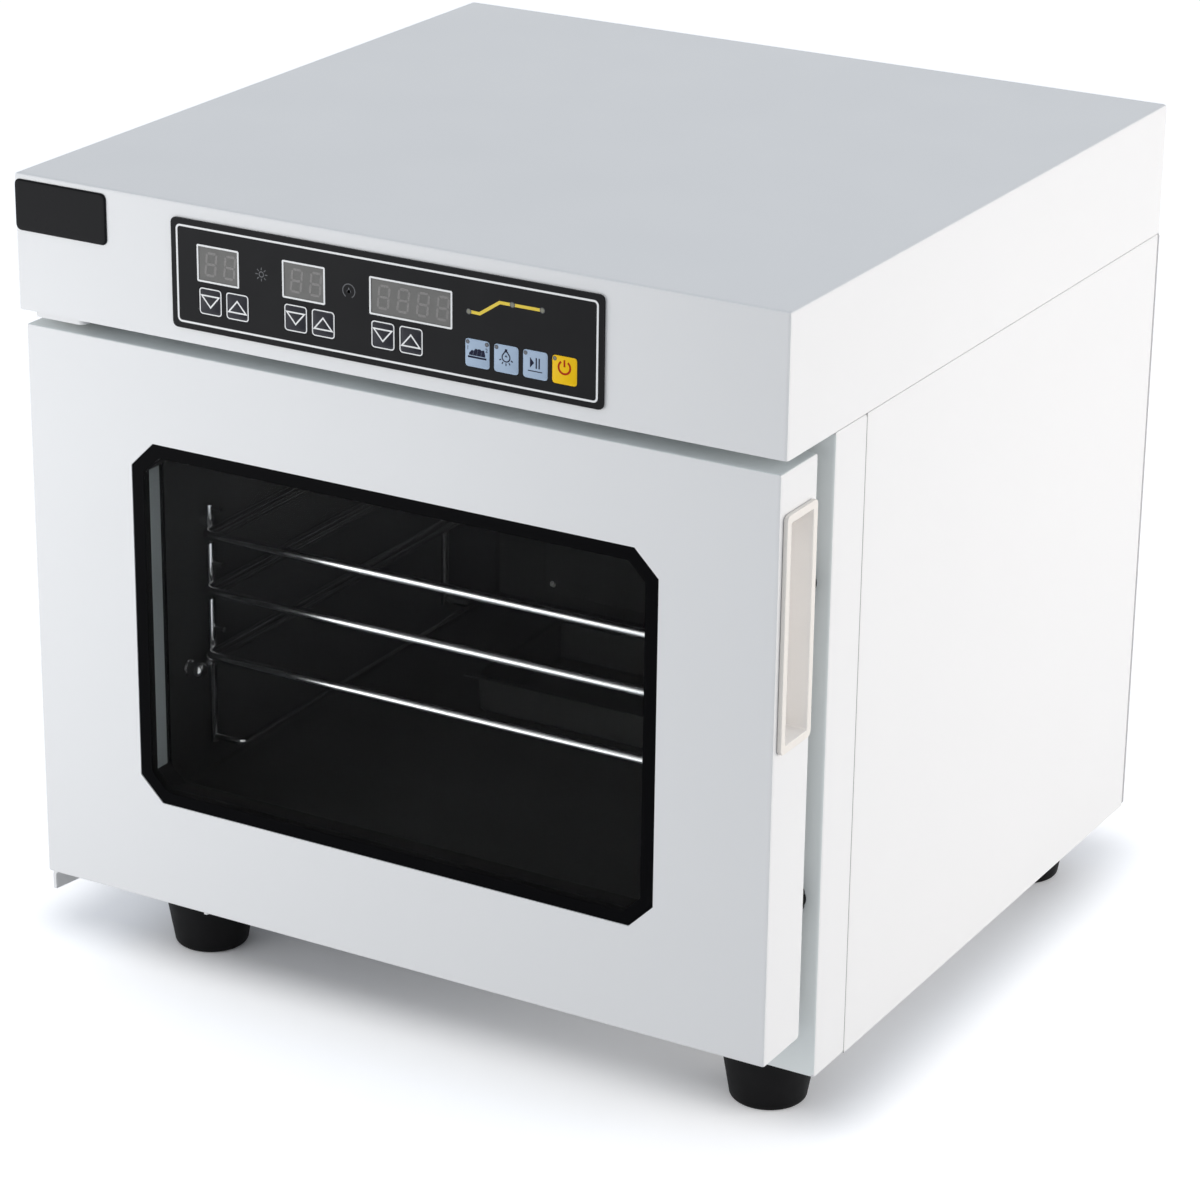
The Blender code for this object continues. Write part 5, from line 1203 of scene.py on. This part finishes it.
SCREW_HEAD = 0.0030
SCREW_RISE = 0.0013
SMALL_HEAD = 0.0021
SMALL_RISE = 0.0009
RECESS_SHARE = 0.24
BLADE_SHARE = 1.15
SEAT_SINK = 0.0001
SCREW_SEED = 7
CASE_EDGE = (-0.2265, 0.2265)
CASE_EDGE_HEIGHTS = (0.062, 0.150, 0.245, 0.340, 0.397)
CASE_ENDS = (-0.08, 0.08)
CASE_END_HEIGHTS = (0.053, 0.399)
HOOD_PLACES = (-0.205, 0.0, 0.205)
HOOD_HEIGHT = 0.4165
COVER_INSET = 0.007
PANEL_EDGE = (-0.2150, 0.2150)
PANEL_EDGE_HEIGHTS = (0.0885, 0.165, 0.3060, 0.3860)
PANEL_ENDS = (-0.075, 0.075)
PANEL_END_HEIGHTS = (0.0845, 0.3905)


def screw_tree():
    """Nodes that set a domed, cross-slotted screw on each vertex, along its facing."""
    tree = bpy.data.node_groups.new("screws_on_places", "GeometryNodeTree")
    for label, kind in (("Places", "NodeSocketGeometry"), ("Head Radius", FLOAT),
                        ("Head Rise", FLOAT), ("Recess Width", FLOAT), ("Seed", "NodeSocketInt"),
                        ("Metal", "NodeSocketMaterial")):
        tree.interface.new_socket(label, in_out="INPUT", socket_type=kind)
    tree.interface.new_socket("Screws", in_out="OUTPUT", socket_type="NodeSocketGeometry")
    given = tree.nodes.new("NodeGroupInput").outputs

    def step(kind, links=(), values=(), **settings):
        node = tree.nodes.new(kind)
        for key, value in settings.items():
            setattr(node, key, value)
        for label, value in values:
            node.inputs[label].default_value = value
        for label, source in links:
            tree.links.new(source, node.inputs[label])
        return node

    ball = step("GeometryNodeMeshUVSphere", [("Radius", given["Head Radius"])],
                [("Segments", 20), ("Rings", 10)])
    flat = step("ShaderNodeMath", [(0, given["Head Rise"]), (1, given["Head Radius"])],
                operation="DIVIDE")
    scale = step("ShaderNodeCombineXYZ", [("Z", flat.outputs[0])], [("X", 1.0), ("Y", 1.0)])
    dome = step("ShaderNodeVectorMath", [(0, step("GeometryNodeInputPosition").outputs[0]),
                                         (1, scale.outputs[0])], operation="MULTIPLY")
    seated = step("ShaderNodeVectorMath", [(0, dome.outputs[0])], [(1, (-1.0, -1.0, -SEAT_SINK))],
                  operation="MAXIMUM")
    head = step("GeometryNodeSetPosition", [("Geometry", ball.outputs["Mesh"]),
                                            ("Position", seated.outputs[0])])
    length = step("ShaderNodeMath", [(0, given["Head Radius"])], [(1, BLADE_SHARE)],
                  operation="MULTIPLY")
    blades = []
    for axes in (("X", "Y"), ("Y", "X")):
        size = step("ShaderNodeCombineXYZ", [(axes[0], length.outputs[0]),
                                             (axes[1], given["Recess Width"]),
                                             ("Z", given["Head Rise"])])
        blade = step("GeometryNodeMeshCube", [("Size", size.outputs[0])])
        lift = step("ShaderNodeCombineXYZ", [("Z", given["Head Rise"])])
        blades.append(step("GeometryNodeTransform", [("Geometry", blade.outputs["Mesh"]),
                                                     ("Translation", lift.outputs[0])]))
    slotted = step("GeometryNodeMeshBoolean", [(0, head.outputs[0])]
                   + [(1, blade.outputs[0]) for blade in blades], operation="DIFFERENCE",
                   solver="EXACT")
    facing = step("GeometryNodeInputNamedAttribute", (), [("Name", "facing")],
                  data_type="FLOAT_VECTOR")
    upright = step("FunctionNodeAlignRotationToVector", [("Vector", facing.outputs[0])], axis="Z")
    turn = step("FunctionNodeRandomValue", [("Seed", given["Seed"])], [(3, math.pi)],
                data_type="FLOAT")
    spin = step("FunctionNodeAxisAngleToRotation", [("Angle", turn.outputs[1])],
                [("Axis", (0.0, 0.0, 1.0))])
    turned_head = step("FunctionNodeRotateRotation", [(0, upright.outputs[0]),
                                                      (1, spin.outputs[0])], rotation_space="LOCAL")
    screws = step("GeometryNodeInstanceOnPoints", [("Points", given["Places"]),
                                                   ("Instance", slotted.outputs[0]),
                                                   ("Rotation", turned_head.outputs[0])])
    whole = step("GeometryNodeRealizeInstances", [(0, screws.outputs[0])])
    metal = step("GeometryNodeSetMaterial", [("Geometry", whole.outputs[0]),
                                             ("Material", given["Metal"])])
    tree.links.new(metal.outputs[0], tree.nodes.new("NodeGroupOutput").inputs[0])
    return tree


SCREWS = screw_tree()


def set_screws(name, places, head, rise, body):
    """Screws at places of (point, facing), as one mesh."""
    mesh = bpy.data.meshes.new(name)
    mesh.from_pydata([point for point, _ in places], [], [])
    facing = mesh.attributes.new("facing", "FLOAT_VECTOR", "POINT")
    for row, (_, way) in zip(facing.data, places):
        row.vector = way
    carrier = new_piece(name, mesh)
    change = carrier.modifiers.new("screws", "NODES")
    change.node_group = SCREWS
    socket = {item.name: item.identifier for item in SCREWS.interface.items_tree}
    for label, value in (("Head Radius", head), ("Head Rise", rise), ("Recess Width",
                         head * RECESS_SHARE), ("Seed", SCREW_SEED), ("Metal", ZINC)):
        change[socket[label]] = value
    piece = baked(carrier)
    piece.data.shade_smooth()
    piece.data.set_sharp_from_angle(angle=math.radians(SOFT_TURN))
    settle(piece, ZINC, body, slot="galvanised_steel")


def spread(across, y, heights, way):
    """Screw places over a grid on an upright face."""
    return [((x, y, z), way) for x in across for z in heights]


def place_screws():
    """Screws of the back, the hood, the air cover and the door's inner panel."""
    forward, rearward = (0.0, -1.0, 0.0), (0.0, 1.0, 0.0)
    back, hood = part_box("back_panel")[1].y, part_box("hood_cover")[1].y
    set_screws("case_screws", spread(CASE_EDGE, back, CASE_EDGE_HEIGHTS, rearward)
               + spread(CASE_ENDS, back, CASE_END_HEIGHTS, rearward)
               + spread(HOOD_PLACES, hood, (HOOD_HEIGHT,), rearward),
               SCREW_HEAD, SCREW_RISE, "cabinet")
    low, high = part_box("air_baffle")
    set_screws("small_cabinet_screws", spread(
        (low.x + COVER_INSET, high.x - COVER_INSET), low.y,
        (low.z + COVER_INSET, high.z - COVER_INSET), forward), SMALL_HEAD, SMALL_RISE, "cabinet")
    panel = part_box("door_inner_panel")[1].y
    set_screws("door_panel_screws", spread(PANEL_EDGE, panel, PANEL_EDGE_HEIGHTS, rearward)
               + spread(PANEL_ENDS, panel, PANEL_END_HEIGHTS, rearward),
               SMALL_HEAD, SMALL_RISE, "door")


place_screws()


# Knobs, buffers and seams

KNOB = ((0.0, 0.0), (0.0052, 0.0), (0.0052, 0.0012), (0.0038, 0.0016), (0.0038, 0.0042),
        (0.0050, 0.0048), (0.0052, 0.0062), (0.0050, 0.0098), (0.0040, 0.0114), (0.0022, 0.0122),
        (0.0, 0.0124))
KNOB_PLACE = (-0.1500, 0.1765)
KNOB_GAP = 0.0003
KNOB_STEPS = 32
# A buffer's profile, in shares of its radius and rise
BUFFER_PROFILE = ((0.0, 0.0), (1.0, 0.0), (1.0, 0.8), (0.9, 0.95), (0.75, 1.0), (0.0, 1.0))
BUFFER_STEPS = 40
BUFFER_RADIUS = 0.0066
BUFFER_PLACE = 0.2202
BUFFER_GAP = 0.0003
SEAM_HALF = 0.00025
SEAM_GAP = 0.0003
SEAM_DEPTH = 0.0003
SEAM_RISE = 0.00001


def stood(piece, way, place):
    """Turn an upright mesh to face a way, and move it to its place."""
    turn = Vector(way).to_track_quat("Z", "Y").to_matrix().to_4x4()
    piece.data.transform(Matrix.Translation(place) @ turn)
    return piece


def make_knobs():
    """Bright knobs on the chamber's walls, in front of the racks."""
    for name, side in (("left", -1), ("right", 1)):
        place = (side * (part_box("rack_right")[1].x + KNOB_GAP), *KNOB_PLACE)
        knob = turned("rack_knob_" + name, KNOB, (0.0, 0.0, 0.0), KNOB_STEPS)
        settle(stood(knob, (-side, 0.0, 0.0), place), MATERIALS["bright_rod"], "cabinet",
               slot="bright_rod")


def make_buffers():
    """Round rubber buffers beside the catches."""
    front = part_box("front_frame")[0].y
    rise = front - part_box("door_shell")[1].y - 2 * BUFFER_GAP
    for name in ("upper", "lower"):
        low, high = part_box("catch_" + name)
        profile = [(BUFFER_RADIUS * out, rise * up) for out, up in BUFFER_PROFILE]
        buffer = turned("buffer_" + name, profile, (0.0, 0.0, 0.0), BUFFER_STEPS)
        place = (BUFFER_PLACE, front - BUFFER_GAP, (low.z + high.z) / 2)
        settle(stood(buffer, (0.0, -1.0, 0.0), place), MATERIALS["foot_rubber"], "cabinet",
               slot="foot_rubber")


def make_seams():
    """Thin grey beads in the upright seams of the case's sides: painted shade along the seam lines.
    """
    for name, side in (("left", -1), ("right", 1)):
        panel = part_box("side_panel_" + name)
        wall = max(abs(panel[0].x), abs(panel[1].x)) * side
        low, high = panel[0].z, min(panel[1].z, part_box("hood_cover")[0].z)
        middle = (wall + side * (SEAM_RISE - SEAM_DEPTH / 2), panel[0].y - SEAM_GAP / 2,
                  (low + high) / 2)
        bm = bmesh.new()
        bmesh.ops.create_cube(bm, size=1.0, matrix=Matrix.Translation(middle) @ Matrix.Diagonal(
            (SEAM_DEPTH, 2 * SEAM_HALF, high - low, 1.0)))
        settle(mesh_piece("side_seam_" + name, bm), SEAM_SHADE_GREY, "cabinet", slot="silicone")


make_knobs()
make_buffers()
make_seams()


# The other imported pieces

RECESS_TOP = 0.2308
OPENING_REACH = 0.009
FACING, ASIDE = 0.9, 0.5
# Folded sheets keep their packed edges; the other pieces get edges of this width
SHEETS = ("hood_cover", "front_frame", "side_panel_left", "side_panel_right", "door_shell",
          "back_panel", "base_pan", "top_deck", "door_inner_panel", "chamber_liner", "air_baffle",
          "water_pan", "lower_hinge_bracket")
EDGED = {"pull_cup": 0.0003, "catch_upper": 0.0003, "catch_lower": 0.0003, "power_inlet": 0.0003,
          "upper_hinge_plate": 0.0002, "door_gasket": 0.0008, "lamp_holder": 0.0002,
          "sensor_probe": 0.0002, "fan_motor": 0.0004, "upper_bush": 0.0001, "lower_bush": 0.0001,
          "upper_hinge_pin": 0.0001, "lower_hinge_pin": 0.0001, "fan_impeller": 0.0}


def finish_faces(piece, material, chosen):
    """Give the faces that a test picks another finish."""
    piece.data.materials.append(material)
    for face in piece.data.polygons:
        if chosen(face):
            face.material_index = 1


def around_window(face):
    """Whether a face of the inner panel looks towards the window, or lines the opening."""
    low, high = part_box("window_glass")
    inside = (low.x - OPENING_REACH < face.center.x < high.x + OPENING_REACH
              and low.z - OPENING_REACH < face.center.z < high.z + OPENING_REACH)
    return face.normal.y < -FACING or (inside and abs(face.normal.y) < ASIDE)


SOFTENED = {node: soften(node) for node in SHEETS}
SOFTENED.update({node: soften(node, edge) for node, edge in EDGED.items()})
# Painted light: the case front's forward faces and the door's top faces get the paler enamel
finish_faces(SOFTENED["front_frame"], PAINTED_LIGHT_ENAMEL, lambda face: face.normal.y < -FACING)
finish_faces(SOFTENED["door_shell"], PAINTED_LIGHT_ENAMEL, lambda face: face.normal.z > FACING)
# Painted light: the faces of the pull's recess get the paler cream
finish_faces(SOFTENED["pull_cup"], RECESS_PAINTED_LIGHT_CREAM, lambda face: face.center.x < RECESS_TOP)
# Painted shade: the inner panel's faces round the window, and the retainer, get the near-black
finish_faces(SOFTENED["door_inner_panel"], PAINTED_SHADE_RING, around_window)
soften("window_retainer", material=PAINTED_SHADE_RING)
soften("heating_element", material=HOT_STEEL)
soften("lamp_lens")

for node, thing in NODES.items():
    if not thing.hide_render:
        thing.data.materials.clear()
        thing.data.materials.append(MATERIALS[SLOT_OF[node]])
